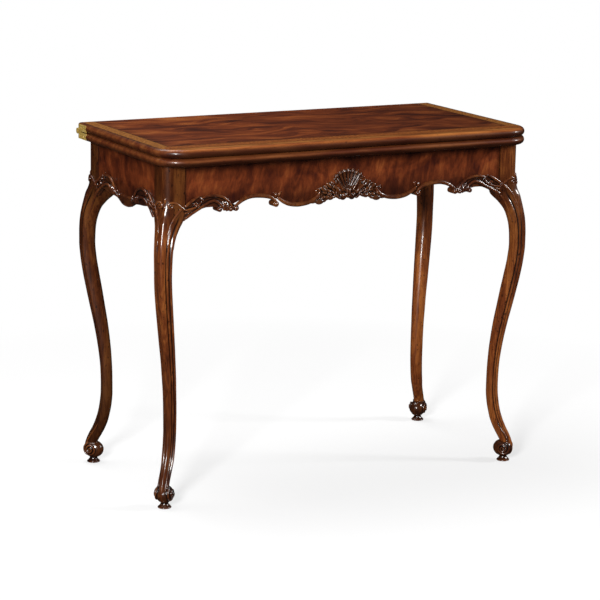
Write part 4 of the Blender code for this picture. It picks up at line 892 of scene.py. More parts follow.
def strap_rows():
    """The strap's edge as (outwards, up, sideways, radius): down the arris, under the ball, in to the eye."""
    rows = []
    for height in np.linspace(STRAP_TOP, STRAP_FOOT, 14):
        outer, inner, side = leg_sizes(height)
        grow = (STRAP_TOP - height) / (STRAP_TOP - STRAP_FOOT)
        rows.append((inner + (outer - inner) * (0.56 + 0.20 * grow), height, side * (0.96 - 0.10 * grow),
                     0.9 + 1.3 * grow))
    for t in np.linspace(0, 1, 100):
        reach = STRAP_REACH - (STRAP_REACH - STRAP_EYE) * t ** 0.9
        angle = math.pi * 0.36 - 2 * math.pi * STRAP_TURNS * t
        rows.append((VOLUTE_MIDDLE[0] + reach * math.cos(angle), VOLUTE_MIDDLE[1] + reach * math.sin(angle),
                     12.4 + 9.0 * t ** 0.7, 2.5 - 0.9 * t))
    return rows


def scroll_foot():
    """The foot: a ball with a volute on each side, round which the leg's strap runs, on a turned pad."""
    outwards = Vector((1, -1, 0)) * DIAGONAL
    sideways = Vector((1, 1, 0)) * DIAGONAL
    turn = Matrix((outwards, Vector((0, 0, 1)), -sideways)).transposed().to_4x4()
    shape = Carving(None)

    def at(out, up, side=0.0):
        return outwards * out * MM + Vector((0, 0, up * MM)) + sideways * side * MM

    def turned(rows, steps, place, mirrored=True):
        rows = [(radius * MM, height * MM) for radius, height in rows]
        whole = rows + [(radius, -height) for radius, height in reversed(rows)] if mirrored else rows
        shape.solids.from_mesh(revolved(whole, steps, place))

    turned(BALL, 56, Matrix.Translation(at(*BALL_MIDDLE)) @ turn @ Matrix.Diagonal((1, BALL_FLATNESS, 1, 1)))
    turned(BOSS, 48, Matrix.Translation(at(*VOLUTE_MIDDLE)) @ turn)
    turned(PAD, 48, Matrix.Translation(at(PAD_OUT, 0)), False)
    rows = strap_rows()
    for sign in (-1, 1):
        shape.chain([at(out, up, sign * side) for out, up, side, _ in rows], [row[3] for row in rows])
    return shape.fused("scroll_foot", voxel=0.7)


def corner_rays(flank):
    """Rays at one flank of a leg about the origin: across runs from the seam out to the corner."""
    edge = -POST_HALF
    if flank == "front":
        return lambda across, height: (Vector((edge + across, -LEG_RAY_BACK, height)), Vector((0, 1, 0)))
    return lambda across, height: (Vector((LEG_RAY_BACK, -edge - across, height)), Vector((-1, 0, 0)))


# Strands on each flank of a knee: (across, height, half width, lift) points, and the volute at the end
KNEE_STRANDS = (
    # The golden strand: off the apron, up over the post's foot and round into its volute by the corner
    (((0.6, 645.6, 2.2, 0.8), (7, 651, 2.4, 1.1), (14, 656.8, 2.5, 1.4), (21, 661.4, 2.6, 1.6),
      (28, 663.4, 2.6, 1.8), (33, 663.4, 2.5, 1.8)), (6.8, -1, 1.3)),
    # The strands that come off the apron and run down the knee
    (((0.8, 654.6, 2.2, 0), (9, 648, 2.7, 0.4), (21, 636.8, 2.7, 0.4), (32, 623.4, 2.5, 0.2),
      (40, 607, 2.2, 0), (44.6, 588, 1.7, -0.3), (47, 562, 1, -0.7)), None),
    (((0.8, 629, 1.9, -0.3), (6, 621.8, 2.3, 0), (13.4, 610, 2.3, 0), (19.6, 597.6, 2.1, -0.2),
      (25.6, 582, 1.6, -0.5), (30.6, 564, 1, -0.8)), None),
)
# Pointed beads on the corner between the volutes: height, half length, half width, distance out
CORNER_BEADS = ((667, 6.5, 2.5, 26.6), (651.5, 6, 2.2, 30))


def knee_carving(ground):
    """What is carved on each post and knee: two volutes by the corner, and the strands off the aprons."""
    carving = Carving(ground)
    for flank in ("front", "side"):
        rays = corner_rays(flank)
        for points, end in KNEE_STRANDS:
            carving.add(points, rays, end=end)
    outwards = Vector((1, -1, 0)) * DIAGONAL
    for height, long, wide, reach in CORNER_BEADS:
        point = outwards * reach * MM + Vector((0, 0, height * MM))
        carving.ball(Matrix.Translation(point) @ Matrix.Diagonal((wide * MM, wide * MM, long * MM, 1.0)))
    return carving.fused("knee_carving", voxel=0.65, soften=1)


def make_legs():
    """Four legs alike, turned to their corners, each of a shaft, a scroll foot and its knee carving."""
    shaft = object_of("leg_shaft", leg_shaft())
    tree = bmesh.new()
    tree.from_mesh(shaft.data)
    ground = BVHTree.FromBMesh(tree)
    tree.free()
    foot = scroll_foot()
    knee = knee_carving(ground)
    for name, x, y, turns in CORNERS:
        matrix = corner_matrix(x, y, turns)
        leg = moved_copy(shaft, "turned_leg_" + name, matrix)
        finish(leg, LEG_WOOD, "frame", "polished_mahogany", "leg_" + name, sharp=50)
        scroll = moved_copy(foot, "scroll_foot_" + name, matrix)
        finish(scroll, FOOT_WOOD, "frame", "carved_mahogany")
        carving = moved_copy(knee, "knee_carving_" + name, matrix)
        finish(carving, CARVED, "frame", "carved_mahogany")
    remove(shaft, foot, knee)


# Apron carving

def apron_ground(half, face):
    """A flat search tree, a little wider than the apron, whose outer face looks along -Y."""
    shape = bmesh.new()
    reach = half + 0.02
    corners = ((-reach, 0.5), (reach, 0.5), (reach, 0.8), (-reach, 0.8))
    shape.faces.new([shape.verts.new((x, face, z)) for x, z in corners])
    shape.faces.ensure_lookup_table()
    tree = BVHTree.FromBMesh(shape)
    shape.free()
    return tree


# Each strand, in millimetres: (distance from the apron's middle, height, half width, lift) points, then the
# volutes at its start and its end as (radius, side, turns)
FRONT_STRANDS = (
    # The long wave beside the leaves: its inner end curls up against them, its outer end rises to a point
    (((71, 663, 2.2, 4.4), (73.2, 657.4, 3, 4.2), (79, 651, 3.8, 3.4), (87.5, 645.6, 4.4, 2.6),
      (101, 641.4, 4.9, 2.2), (122, 639.4, 5.1, 2.2), (142, 641.8, 4.9, 2.2), (155, 646.8, 4.5, 2.4),
      (165.5, 653, 3.6, 2.6), (173, 659.5, 1.8, 2.6)), (6, -1, 0.95), None),
    # Two small leaves that stand over its point
    (((175.5, 659, 2, 2.2), (177.5, 664, 2.9, 3), (177, 670, 1.9, 2.4)), None, None),
    (((170.5, 661, 1.8, 2), (167.5, 666, 2.5, 2.6), (164.5, 671, 1.7, 2)), None, None),
    # The arch: it springs from the scroll beside the wave and runs down to the next one
    (((173.5, 648, 2, 3.6), (180, 654, 3.2, 3.4), (189, 659.8, 4.4, 2.6), (205, 663.8, 5, 2.2),
      (227, 665.6, 5.2, 2.2), (243, 663.6, 4.9, 2.4), (256, 658.4, 4.3, 3), (267, 651.4, 3.5, 3.8),
      (276, 643.6, 2.6, 4.2), (280.5, 639, 1.6, 3.6)), None, None),
    # The band's upper ridge: round its fluted end, up and over, into a small hook
    (((280.6, 639.5, 1.8, 4.4), (281.8, 646, 2.3, 4.8), (286.8, 654.4, 2.6, 4.8), (294, 662.2, 2.8, 4.6),
      (303, 668, 2.9, 4.4), (315, 671.4, 2.9, 4.2), (328, 672.8, 2.9, 4.2), (341, 671.4, 2.7, 4.2),
      (350.5, 669.2, 2.3, 4)), None, (3.4, -1, 0.75)),
    # The strand that starts above the hook and crosses on to the post
    (((357, 673, 1.6, 2.6), (364.5, 670, 2.6, 3.6), (374, 664.8, 3, 4.4), (383.5, 658.6, 3.1, 5.2),
      (391.6, 652.6, 3.1, 6)), None, None),
    # The band's lower ridge: out of its scroll, over and down to the leg
    (((304.5, 646.5, 2.4, 4.2), (309, 653.6, 2.8, 4.4), (317, 659.4, 3, 4.2), (326, 661.2, 3.1, 4),
      (336, 658.6, 3.1, 4), (346, 653.2, 3, 4), (357, 647, 3, 4.2), (368, 641.4, 3, 4.6),
      (380, 634.8, 3, 5.2), (391.6, 627.6, 3, 5.8)), (6.4, -1, 0.9), None),
    # The inner strand between the ridges
    (((351, 661.5, 1.4, 1.6), (357.5, 655, 2.3, 2.8), (366, 648.6, 2.5, 3), (377, 643.4, 2.2, 3),
      (391.6, 638, 1.7, 3.6)), None, None),
    # The curl that the golden strand ends in, beside the post
    (((391.6, 645.8, 2.2, 4.6), (384, 646.2, 2.3, 4.4), (375, 648, 2.4, 4.2), (366.5, 650.4, 2.4, 4.2)),
     None, (5.4, -1, 0.9)),
)
# The hollow band's ground between its foot and its top, then its flutes, each from its top to its foot
BAND_FOOT = ((277, 641.4), (290, 641.9), (304, 643.9), (316, 646), (327, 647.6), (338, 647.6), (348, 645.8),
             (358, 641.8), (367, 637.4), (377, 631.4), (386, 625.4), (391.6, 621.4))
BAND_TOP = ((277, 647.4), (284, 656.4), (293, 664.4), (303, 669.4), (316, 672.8), (330, 674.2),
            (345, 672.6), (360, 673), (374, 666.4), (391.6, 654.4))
FRONT_FLUTES = ((285.5, 652, 281.6, 638.4), (290.6, 655.5, 286.6, 636.8), (296, 658, 292.2, 636.4),
                (301.5, 659, 298, 638))
# Rolls whose length is the apron's whole thickness: across, height, radius
FRONT_ROLLS = ((176.4, 644.4, 6.4), (272, 642.4, 6.4), (284.4, 641, 5), (310.4, 642, 5.4))
FRONT_BEADS = ((374, 665, 2.9, 3.4), (383, 636.5, 2.2, 3), (169.5, 653.5, 2.2, 3.4))


def mirror(points, sign):
    return [(sign * row[0], *row[1:]) for row in points]


def both_ways(rows):
    """Rows from the middle outwards, with their mirror image before them."""
    return mirror(rows[1:], -1)[::-1] + list(rows)


def flipped(volute, sign):
    return (volute[0], volute[1] * sign, volute[2]) if volute else None


def lay_strands(carving, strands, sign, place):
    for points, start, end in strands:
        carving.add(mirror(points, sign), place, start=flipped(start, sign), end=flipped(end, sign))


def lay_flutes(carving, flutes, sign, place, width):
    """Short rounded flutes that fan out of a band's end, each swelling towards its foot."""
    for top_x, top_z, foot_x, foot_z in flutes:
        middle = ((top_x + foot_x) / 2, (top_z + foot_z) / 2)
        rows = [(top_x, top_z, width * 0.5, 1.4), (*middle, width * 0.8, 3.2), (foot_x, foot_z, width, 2.2)]
        carving.lay(along_curve(mirror(rows, sign)), place)


def finish_carving(item, *replaced, material=CARVED):
    finish(item, material, "frame", "carved_mahogany", *replaced, sharp=60)


def front_apron_carving():
    """The carved edge of the front apron, one piece for each half."""
    for side, sign in (("right", 1), ("left", -1)):
        carving = Carving(apron_ground(LONG_HALF, FRONT_FACE))
        lay_strands(carving, FRONT_STRANDS, sign, AT_FRONT)
        carving.plate(BAND_FOOT, BAND_TOP, FRONT_FACE, 2.2, 6.0, sign)
        lay_flutes(carving, FRONT_FLUTES, sign, AT_FRONT, 3.5)
        for across, height, radius in FRONT_ROLLS:
            carving.roll(sign * across, height, radius, FRONT_FACE, 6.4, 19.0)
            carving.bead(sign * across, height, radius * 0.55, 5.6, AT_FRONT)
        for across, height, radius, lift in FRONT_BEADS:
            carving.bead(sign * across, height, radius, lift, AT_FRONT)
        finish_carving(carving.fused("apron_carving_front_" + side), "edge_moulding_front_" + side)


# The shell: its hub's height, its reach, the angle between its ribs, then how proud it is and how high its
# ribs stand, each as (share of the reach, rise) rows
SHELL_HUB = 652.5
SHELL_REACH = 56.5
RIB_ANGLE = 11.4
SHELL_DISH = ((0, 3.4), (0.20, 3.2), (0.42, 2), (0.66, 1.6), (0.85, 2.8), (0.94, 4.6), (1, 3))
RIB_RISE = ((0, 0), (0.24, 0.1), (0.42, 1.2), (0.70, 2.8), (0.92, 2.6), (1, 1.6))
SHELL_BACK = 4.0
SHELL_SPREAD = 113
SHELL_STEPS = 48
# Lobes of the leaves beside the shell: across, height, half length, half width, degrees up from level, proud
LEAF_LOBES = ((47.5, 676, 9, 4.3, 44, 6.2), (40, 679, 7, 3.5, 66, 5.4), (30, 681.5, 5.2, 3.2, 96, 5),
              (60.5, 668, 9.4, 4.3, 34, 6.2), (54.5, 672, 6.6, 3.2, 58, 4.8), (57, 661, 6.4, 3.2, 16, 5.4),
              (46.5, 663.5, 7, 3.4, 36, 5.4), (37, 668, 7, 3.4, 58, 5.2), (30.5, 671, 4.4, 2.9, 84, 6),
              (45.5, 656.5, 5.4, 2.9, 6, 5.6), (35, 659, 5.2, 3, 34, 5.6), (42, 648.5, 8, 4.6, -18, 5.6),
              (53, 650.5, 6.4, 3.5, -12, 5.6), (62, 650, 6.4, 3.8, -24, 5.8), (70.5, 641.6, 10.4, 6, -4, 6),
              (84, 643.4, 9, 4.6, -14, 4.6), (51.5, 647.4, 6.4, 3.4, -26, 5.2),
              (58, 643.6, 5.6, 3.8, -30, 5), (74.5, 651.5, 5.4, 3.4, -40, 6), (32.5, 651, 5, 3.2, -50, 5))
LEAF_GROUND = ((43, 651, 12, 7, 0, 2.2), (68, 646, 13, 8.6, 0, 2.2), (52, 662, 21, 13, 20, 2.2),
               (40, 671, 15, 10, 40, 2.2), (16, 653, 16, 9, 0, 2))
LOBE_PROUD = 3.4
# Strands of the shell and beside it, on the right
SHELL_STRANDS = (
    # The shell's outermost rib stands proud of the others
    (((33.6, 694, 1.9, 3.4), (27, 685.5, 2.3, 4.2), (19, 673.5, 2.1, 4.4), (11.5, 661.5, 1.4, 3.8)),
     None, None),
    # The crescent leaf that wraps the shell's side
    (((40, 674, 1.8, 5), (34.5, 672, 2.8, 6.2), (28.5, 668, 3.3, 7), (23, 662, 3, 7.4), (19.5, 655, 2, 6.6)),
     None, None),
    # A volute under the shell, and the hollow crescent outside it
    (((4, 668, 2, 6), (3.2, 659, 2.6, 6.2), (4.8, 651.5, 2.9, 5.8)), None, (6, 1, 1.15)),
    (((18, 644.5, 2.2, 3.4), (24, 648, 2.7, 3.8), (28.5, 654, 2.4, 4.2), (29.6, 662, 1.6, 4)), None, None),
)


def shell_fan(carving):
    """The scallop: a dished fan with rounded ribs, deep valleys and a rolled rim, as one closed solid."""
    spread, steps, half = SHELL_SPREAD, SHELL_STEPS, RIB_ANGLE * 3.5
    sheets = []
    for back in (False, True):
        for i in range(spread):
            degrees = -half + 2 * half * i / (spread - 1)
            ribbed = abs(math.cos(math.pi * degrees / RIB_ANGLE))
            rim = SHELL_REACH * (0.955 + 0.045 * ribbed ** 0.6) * (1 - 0.03 * (degrees / half) ** 2)
            for t in np.linspace(0.06, 1.0, steps):
                rise = float(eased(SHELL_DISH, t)) + float(eased(RIB_RISE, t)) * (2 * ribbed ** 0.8 - 1)
                x = rim * t * math.sin(math.radians(degrees))
                z = SHELL_HUB + rim * t * math.cos(math.radians(degrees))
                y = FRONT_FACE + (SHELL_BACK if back else -rise) * MM
                sheets.append(carving.solids.verts.new((x * MM, y, z * MM)))
    whole = spread * steps

    def face(*corners):
        carving.solids.faces.new([sheets[c] for c in corners])

    for i in range(spread - 1):
        for j in range(steps - 1):
            a, b = i * steps + j, (i + 1) * steps + j
            face(a, b, b + 1, a + 1)
            face(whole + a + 1, whole + b + 1, whole + b, whole + a)
        for j in (0, steps - 1):
            a, b = i * steps + j, (i + 1) * steps + j
            face(*((a, whole + a, whole + b, b) if j == 0 else (b, whole + b, whole + a, a)))
    for i in (0, spread - 1):
        for j in range(steps - 1):
            a = i * steps + j
            face(*((a + 1, whole + a + 1, whole + a, a) if i == 0 else (a, whole + a, whole + a + 1, a + 1)))


def shell_and_leaves():
    """The scallop shell in the middle of the front, and the leaves that spread from it."""
    carving = Carving(apron_ground(LONG_HALF, FRONT_FACE))
    shell_fan(carving)
    for k in range(-3, 4):
        a = math.radians(k * RIB_ANGLE)
        reach = SHELL_REACH - 1.0 - 0.16 * k * k
        carving.bead(reach * math.sin(a), SHELL_HUB + reach * math.cos(a), 3.4, 2.6, AT_FRONT)
    for sign in (-1, 1):
        carving.bead(sign * 35.0, 688.5, 3.2, 2.6, AT_FRONT)
        lay_strands(carving, SHELL_STRANDS, sign, AT_FRONT)
        carving.bead(sign * 11.4, 652.5, 3.4, 7.2, AT_FRONT)
        carving.petal(sign * 11.0, 650.0, 9.0, 9.2, 0, 5.4)
        for across, height, long, wide, degrees, proud in LEAF_GROUND:
            carving.petal(sign * across, height, long, wide, sign * degrees, proud)
        for across, height, long, wide, degrees, proud in LEAF_LOBES:
            carving.petal(sign * across, height, long, wide, sign * degrees, LOBE_PROUD, proud - 2.4)
    carving.bead(0.0, 648.5, 3.4, 3.4, AT_FRONT)
    item = carving.fused("shell_and_leaf_carving", voxel=0.6, soften=6)
    finish_carving(item, "shell_carving", "leaf_carving_left", "leaf_carving_right", material=SHELL_WOOD)


SIDE_STRANDS = (
    # The band's upper ridge, from its fluted end to a hook, then the strand that crosses on to the post
    (((47, 645, 1.8, 4.2), (51, 653.5, 2.3, 4.6), (58, 663, 2.6, 4.6), (67, 670.6, 2.8, 4.4),
      (79, 675.4, 2.9, 4.2), (92, 677, 2.9, 4.2), (104, 675.4, 2.7, 4.2), (112.5, 672, 2.3, 4)), None,
     (3.4, -1, 0.75)),
    (((119, 674, 1.6, 2.6), (126.5, 670, 2.6, 3.6), (135.5, 664, 3, 4.4), (145, 657.4, 3.1, 5.2),
      (153.3, 651.6, 3.1, 6)), None, None),
    # The band's lower ridge
    (((70, 647, 2.4, 3.8), (76, 653.5, 2.8, 4.2), (86, 657.4, 3, 4), (98, 657.4, 3.1, 4),
      (110, 653.8, 3.1, 4), (122, 648, 3, 4.2), (133, 642, 3, 4.6), (143, 634.6, 3, 5.2),
      (153.3, 626.6, 3, 5.8)), (5, -1, 0.8), None),
    (((113, 662, 1.4, 1.6), (120, 655.5, 2.3, 2.8), (130, 648.5, 2.5, 3), (141, 642.6, 2.2, 3),
      (153.3, 637, 1.7, 3.6)), None, None),
    (((153.3, 645, 2.2, 4.6), (146, 645.6, 2.3, 4.4), (137, 648, 2.4, 4.2), (129.5, 650.8, 2.4, 4.2)), None,
     (5.2, -1, 0.9)),
    # The curl that ends the plain lobe
    (((37, 640, 2.2, 2.6), (45, 643, 2.4, 3.2), (50.5, 641.6, 2.2, 3.2)), (5, -1, 0.9), None),
)
# The end aprons' ground, from the middle outwards: its foot and its top
SIDE_FOOT = ((0, 623.2), (9, 623.6), (19, 625.2), (30, 629.5), (38, 633), (46, 635.6), (58, 637), (72, 638.4),
             (89, 639.4), (105, 641.4), (121, 644), (129, 642.6), (138, 637), (147, 628.5), (153.3, 621.5))
SIDE_TOP = ((0, 648), (30, 649), (44, 650), (55, 660), (70, 674), (88, 679), (104, 677.6), (120, 675.6),
            (137, 665), (153.3, 655))
SIDE_FLUTES = ((53.5, 652, 49.5, 640.5), (59.5, 657.5, 56.5, 639.5), (65.5, 660, 63.5, 639.8),
               (71.5, 660, 70.5, 641.5))
SIDE_BEADS = ((40.5, 651.5, 3.2, 3), (50, 646.5, 2.8, 4.6), (125.5, 665, 2.9, 3.4), (145.5, 637, 2.2, 3))


def end_apron_carving():
    """The carved edge of both end aprons: a broad lobe in the middle and a hollow band to each post."""
    for side, x, turns in (("right", END_FACE, 1), ("left", -END_FACE, 3)):
        carving = Carving(apron_ground(SHORT_HALF, 0.0))
        carving.plate(both_ways(SIDE_FOOT), both_ways(SIDE_TOP), 0.0, 2.0, 6.0)
        for sign in (-1, 1):
            lay_strands(carving, SIDE_STRANDS, sign, AT_ORIGIN)
            lay_flutes(carving, SIDE_FLUTES, sign, AT_ORIGIN, 3.2)
            for across, height, radius, lift in SIDE_BEADS:
                carving.bead(sign * across, height, radius, lift, AT_ORIGIN)
        item = carving.fused("apron_carving_" + side)
        item.data.transform(corner_matrix(x, FRAME_Y, turns))
        finish_carving(item, "edge_moulding_" + side)


BACK_WAVE = ((0, 651.5, 4.6, 1.6), (47, 646, 4.6, 1.6), (84, 643, 4.6, 1.6), (121, 641.5, 4.6, 1.6),
             (150, 647, 4.6, 1.6), (172, 656, 4.6, 1.6), (199, 664.5, 4.6, 1.6), (227, 667.5, 4.6, 1.6),
             (258, 667, 4.6, 1.6), (289, 664, 4.6, 1.6), (320, 660, 4.6, 1.6), (352, 652.5, 4.6, 1.4),
             (374, 642.5, 4.4, 1), (391, 631, 4.2, 0.4))


def back_apron_moulding():
    """The back apron's plain cyma edge, a guess: it stands against a wall and isn't shown."""
    carving = Carving(apron_ground(LONG_HALF, 0.0))
    carving.lay(along_curve(both_ways(BACK_WAVE), 2.0), AT_ORIGIN)
    item = carving.fused("apron_moulding_back", voxel=1.0)
    item.data.transform(corner_matrix(0.0, BACK_FACE, 2))
    finish_carving(item, "edge_moulding_back")


# Top

NOSE_STEPS = 18
CORNER_STEPS = 28
CLOTH_MARGIN = 60 * MM
CLOTH_BACK_MARGIN = 12 * MM
CLOTH_DEPTH = 1.3 * MM
# Room round each fitting in its seat, and how far a cutter stands out of the wood
CLEAR = 0.3 * MM
PROUD = 2 * MM
HINGE_PLATE_DEEP = 3.3 * MM
HINGE_EYE_REACH = 11.1 * MM
KNUCKLE = 7 * MM


def leaf_outline(inset, low, high):
    """The leaf's plan as a closed loop, square at its back corners and round at the front ones."""
    radius = max(CORNER_RADIUS - inset, 0.5 * MM)
    left, right, front = low[0] + CORNER_RADIUS, high[0] - CORNER_RADIUS, low[1] + CORNER_RADIUS
    turn = np.linspace(0, math.pi / 2, CORNER_STEPS)
    loop = [(low[0] + inset, high[1])]
    loop += [(left - radius * math.cos(a), front - radius * math.sin(a)) for a in turn]
    loop += [(right + radius * math.sin(a), front - radius * math.cos(a)) for a in turn]
    loop.append((high[0] - inset, high[1]))
    return loop


def leaf_mesh(name, low, high):
    """A leaf with a half round nose on three sides and a square back edge."""
    radius = (high[2] - low[2]) / 2
    loops = []
    for a in np.linspace(0, math.pi, NOSE_STEPS):
        z = low[2] + radius + radius * math.cos(a)
        loops.append([(x, y, z) for x, y in leaf_outline(radius * (1 - math.sin(a)), low, high)])
    count, last = len(loops[0]), len(loops) - 1
    points = [point for loop in loops for point in loop]
    faces = bands(len(loops), count, closed=False)
    faces += [range(count), range(last * count, (last + 1) * count)]
    starts = [k * count for k in range(len(loops))]
    faces.append(starts + [start + count - 1 for start in reversed(starts)])
    return object_of(name, mesh_from(name, points, faces))


def hinge_seats(leaf):
    """The pocket at each end of a leaf for its hinge plate, and the round clearance for the knuckle."""
    cutters = []
    for side, sign in (("left", -1), ("right", 1)):
        low, high = node_box("hinge_" + side + "_" + leaf + "_plate")
        axis = sum(node_box("hinge_" + side + "_pin")) / 2
        inner = (low[0] if sign > 0 else high[0]) - sign * CLEAR
        outer = sign * (UPPER_HIGH[0] + PROUD)
        foot, head = sorted((UPPER_LOW[2] - MM, high[2] + CLEAR) if leaf == "upper"
                            else (LOWER_HIGH[2] + MM, low[2] - CLEAR))
        back = UPPER_HIGH[1] + PROUD
        for deep, front in ((sign * (UPPER_HIGH[0] - HINGE_PLATE_DEEP), low[1] - CLEAR),
                            (inner, axis[1] - HINGE_EYE_REACH)):
            near, far = sorted((deep, outer))
            cutters.append(box_mesh((near, front, foot), (far, back, head)))
        turn = Matrix.Rotation(math.pi / 2, 4, "Y")
        rod = revolved([(0.0, -5 * MM), (KNUCKLE, -5 * MM), (KNUCKLE, 5 * MM), (0.0, 5 * MM)], 40,
                       Matrix.Translation((sign * (UPPER_HIGH[0] - 2 * MM), axis[1], axis[2])) @ turn)
        cutters.append(object_of("knuckle", rod))
    return cutters


def cloth_seat(low, high, face, inwards):
    foot, head = sorted((face - inwards * PROUD, face + inwards * CLOTH_DEPTH))
    room = CLOTH_MARGIN - CLEAR
    back = high[1] - CLOTH_BACK_MARGIN + CLEAR
    return box_mesh((low[0] + room, low[1] + room, foot), (high[0] - room, back, head))


def seat_below(node, foot):
    """The seat of a fitting that is let into a leaf from below."""
    low, high = node_box(node)
    return box_mesh((low[0] - CLEAR, low[1] - CLEAR, foot - PROUD), high + CLEAR)


def make_leaves():
    """Both leaves, with the seats of their cloths, hinges and pivot."""
    for leaf, body, low, high in LEAVES:
        item = leaf_mesh(leaf + "_leaf", low, high)
        cutters = hinge_seats(leaf)
        if leaf == "upper":
            cutters.append(cloth_seat(low, high, low[2], 1))
        else:
            cutters.append(cloth_seat(low, high, high[2], -1))
            cutters += [seat_below(node, low[2]) for node in ("pivot_plate", "stop_pin")]
        item = let_in(item, cutters, leaf + "_leaf")
        finish(item, TOP_VENEER, body, "flame_veneer", leaf + "_leaf_panel", leaf + "_leaf_lipping", sharp=30)


def make_cloths():
    """The baize on each leaf's inner face: it lies in its recess, a hair below the wood."""
    for leaf, body, _, _ in LEAVES:
        low, high = node_box(leaf + "_playing_cloth")
        size = high - low
        shape = bmesh.new()
        bmesh.ops.create_grid(shape, x_segments=64, y_segments=32, size=0.5)
        place = Matrix.Translation((low + high) / 2) @ Matrix.Diagonal((size[0], size[1], 1, 1))
        bmesh.ops.transform(shape, verts=shape.verts, matrix=place)
        item = object_of("baize_" + leaf, mesh_of(shape, "cloth"))
        thick = item.modifiers.new("thickness", "SOLIDIFY")
        thick.thickness = float(size[2])
        thick.offset = 0.0
        item = baked(item, "baize_" + leaf)
        finish(item, BAIZE, body, "green_baize", leaf + "_playing_cloth")


# Fittings

SCREW_SEED = 7


def screw_tree():
    """The tree that sets a slotted countersunk screw at every point, turned to the point's own axis."""
    inputs = (("Geometry", "Geometry"), ("Screw", "Object"), ("Finish", "Material"), ("Seed", "Int"))
    tree, add, (points, screw, coat, seed), names = new_tree("slotted_screws", inputs)
    screw = add("GeometryNodeObjectInfo", {"Object": screw}, "Geometry")
    axis = add("GeometryNodeInputNamedAttribute", {"Name": "axis"}, data_type="FLOAT_VECTOR")
    aim = add("FunctionNodeAlignRotationToVector", {"Vector": axis}, axis="Z")
    spin = add("FunctionNodeRandomValue", {"Min": 0.0, "Max": math.pi, "Seed": seed}, data_type="FLOAT")
    turn = add("CombineXYZ", {"Z": spin})
    local = add("FunctionNodeRotateRotation", {"Rotation": aim, "Rotate By": turn}, rotation_space="LOCAL")
    copies = add("GeometryNodeInstanceOnPoints", {"Points": points, "Instance": screw, "Rotation": local})
    end_tree(add, copies, coat)
    return tree, names[1:]


def slotted_screw(head, shank, length, slot):
    """One screw along -Z from its head's flat top at zero, with a slot cut across the head."""
    rows = [(0.0, 0.0), (head * 0.93, 0.0), (head, -0.12 * head), (shank, -0.75 * head),
            (shank, -length * 0.8), (0.0, -length)]
    body = object_of("screw", revolved(rows, 28, Matrix()))
    cutter = box_mesh((-head * 1.2, -slot / 2, -0.35 * head), (head * 1.2, slot / 2, head))
    return let_in(body, [cutter], "screw")


def set_screws(leaf, body, screw, tree, names):
    """One mesh of the screws in a leaf's hinge plates, where the CAD has them, heads outwards."""
    points, axes, nodes = [], [], []
    for side, sign in (("left", -1), ("right", 1)):
        for number in (1, 2, 3):
            nodes.append("hinge_" + side + "_" + leaf + "_screw_" + str(number))
            low, high = node_box(nodes[-1])
            heading = np.array((sign, 0, 0), float)
            points.append((low + high) / 2 + heading * (high - low)[0] / 2)
            axes.append(heading)
    places = bpy.data.meshes.new("places")
    places.from_pydata([tuple(point) for point in points], [], [])
    layer = places.attributes.new("axis", "FLOAT_VECTOR", "POINT")
    layer.data.foreach_set("vector", np.array(axes, np.float32).ravel())
    name = "hinge_screws_" + leaf
    item = object_of(name, places)
    step = item.modifiers.new("screws", "NODES")
    step.node_group = tree
    for key, value in zip(names, (screw, BRASS, SCREW_SEED)):
        step[key] = value
    finish(baked(item, name), BRASS, body, "aged_brass", *nodes, sharp=35)


def make_fittings():
    """The hinges' screws, and the materials of the fittings and timber that stay as the CAD has them."""
    tree, names = screw_tree()
    screw = slotted_screw(3 * MM, 1.4 * MM, 12 * MM, 0.7 * MM)
    for leaf, body, _, _ in LEAVES:
        set_screws(leaf, body, screw, tree, names)
    remove(screw)
    dressed = ((("pivot_plate", "pivot_washer", "pivot_nut", "brace_screw"), STEEL), (("stop_pin",), BRASS),
               (("pivot_rail", "corner_brace"), TIMBER), (("rail_",), APRON_VENEER))
    for name, node in NODES.items():
        if name.startswith("hinge_") and name.endswith(("_plate", "_pin")):
            dress(node, BRASS)
        for starts, material in dressed:
            if name.startswith(starts):
                dress(node, material)


def dress(node, material):
    for slot in node.material_slots:
        slot.material = material


# Studio: pale floor, soft light and the photograph's camera

# Each lamp's place, what it looks at, width, height and power
LAMPS = (("key_softbox", (-3.2, -3.5, 2.1), (0, 0, 0.6), 0.9, 1.2, 275),
         ("side_softbox", (3.4, -1.6, 2.1), (0, 0, 0.6), 0.6, 0.9, 70),
         ("top_softbox", (-0.6, 0.8, 3.0), (-0.2, 0, 0.6), 2.0, 1.5, 48))
# The photograph's camera, solved from the table's own edges, in degrees, metres and pixels
AZIMUTH, ELEVATION, ROLL = 28.40, 12.05, 1.01
DISTANCE = 5.336
FOCAL_PIXELS = 2363.2
PHOTO_PIXELS = 600.0
SHIFT_PIXELS = (-4.6, -17.4)
AIM_HEIGHT = 0.42


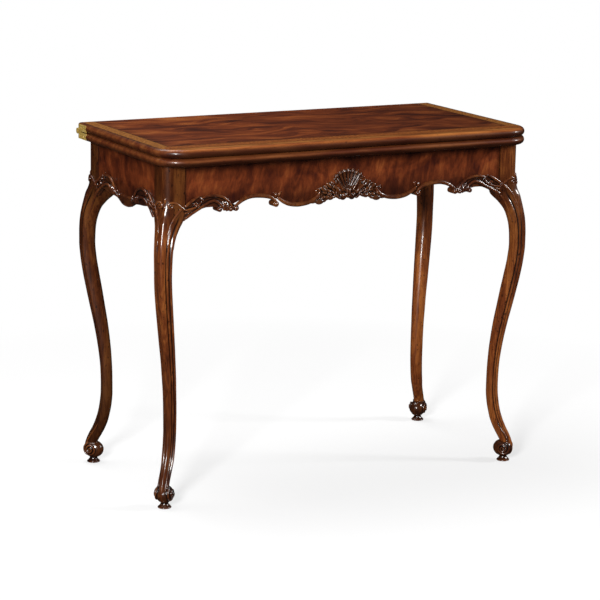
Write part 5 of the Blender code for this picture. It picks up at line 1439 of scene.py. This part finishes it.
def make_floor():
    """Matt pale studio paint that runs out to white. It reflects as dark, as between black flags, so that the
    polish keeps deep tones and small lights."""
    paint, add, shader = new_material("studio_floor_paint")
    seen, mirrored = add("LightPath", out="Is Camera Ray"), add("LightPath", out="Is Glossy Ray")
    colour = add("Mix", (mirrored, "#8a847c", "#2c2622"), **BLEND)
    colour = add("Mix", (seen, colour, "#f4f4f4"), **BLEND)
    feed(shader, {"Base Color": colour, "Roughness": 0.9, "Specular IOR Level": 0})
    x, y = add("SeparateXYZ", (on_piece(add),), slice(2))
    squares = [add("Math", (way, 2), operation="POWER") for way in (x, y)]
    far = add("Math", (add("Math", squares, operation="ADD"),), operation="SQRT")
    edge = add("ValToRGB", (add("Math", (far, 0.5), operation="MULTIPLY"),), stops=((0.40, 0), (0.75, 1)))
    share = add("Math", (edge, 0.42, 0.58), operation="MULTIPLY_ADD")
    glow = add("Emission", {"Color": "#ffffff", "Strength": 1})
    both = add("MixShader", (add("Math", (share, seen), operation="MULTIPLY"), shader.outputs[0], glow))
    feed(paint.node_tree.nodes["Material Output"], {"Surface": both})
    floor = box_mesh((-6, -6, -0.02), (6, 6, 0.0))
    floor.name = "studio_floor"
    floor.data.materials.append(paint)


def make_light():
    """A white world, dim where it lights and dimmer where it mirrors, and three softboxes."""
    world = bpy.data.worlds.new("studio_world")
    world.use_nodes = True
    bpy.context.scene.world = world
    add = partial(add_node, world.node_tree)
    level = add("Math", (add("LightPath", out="Is Camera Ray"), 0.76, 0.24), operation="MULTIPLY_ADD")
    level = add("Math", (add("LightPath", out="Is Glossy Ray"), -0.23, level), operation="MULTIPLY_ADD")
    feed(world.node_tree.nodes["Background"], {"Color": "#ffffff", "Strength": level})
    for name, place, aim, width, height, power in LAMPS:
        data = bpy.data.lights.new(name, "AREA")
        data.shape = "RECTANGLE"
        data.size, data.size_y = width, height
        data.energy = power
        item = object_of(name, data)
        item.location = place
        item.rotation_euler = (Vector(aim) - Vector(place)).to_track_quat("-Z", "Y").to_euler()


def make_camera():
    azimuth, elevation, roll = [math.radians(angle) for angle in (AZIMUTH, ELEVATION, ROLL)]
    target = Vector((0.0, (UPPER_LOW[1] + UPPER_HIGH[1]) / 2, AIM_HEIGHT))
    forward = Vector((math.sin(azimuth) * math.cos(elevation), math.cos(azimuth) * math.cos(elevation),
                      -math.sin(elevation)))
    right = Vector((math.cos(azimuth), -math.sin(azimuth), 0.0))
    up = right.cross(forward)
    right, up = (right * math.cos(roll) + up * math.sin(roll), up * math.cos(roll) - right * math.sin(roll))
    data = bpy.data.cameras.new("photo_camera")
    data.sensor_width = 36.0
    data.lens = FOCAL_PIXELS / PHOTO_PIXELS * data.sensor_width
    data.shift_x, data.shift_y = [shift / PHOTO_PIXELS for shift in SHIFT_PIXELS]
    camera = object_of("photo_camera", data)
    turn = Matrix((right, up, -forward)).transposed().to_4x4()
    camera.matrix_world = Matrix.Translation(target - forward * DISTANCE) @ turn
    bpy.context.scene.camera = camera


make_legs()
front_apron_carving()
shell_and_leaves()
end_apron_carving()
back_apron_moulding()
make_leaves()
make_cloths()
make_fittings()
make_floor()
make_light()
make_camera()
bpy.context.scene.view_settings.view_transform = "Standard"
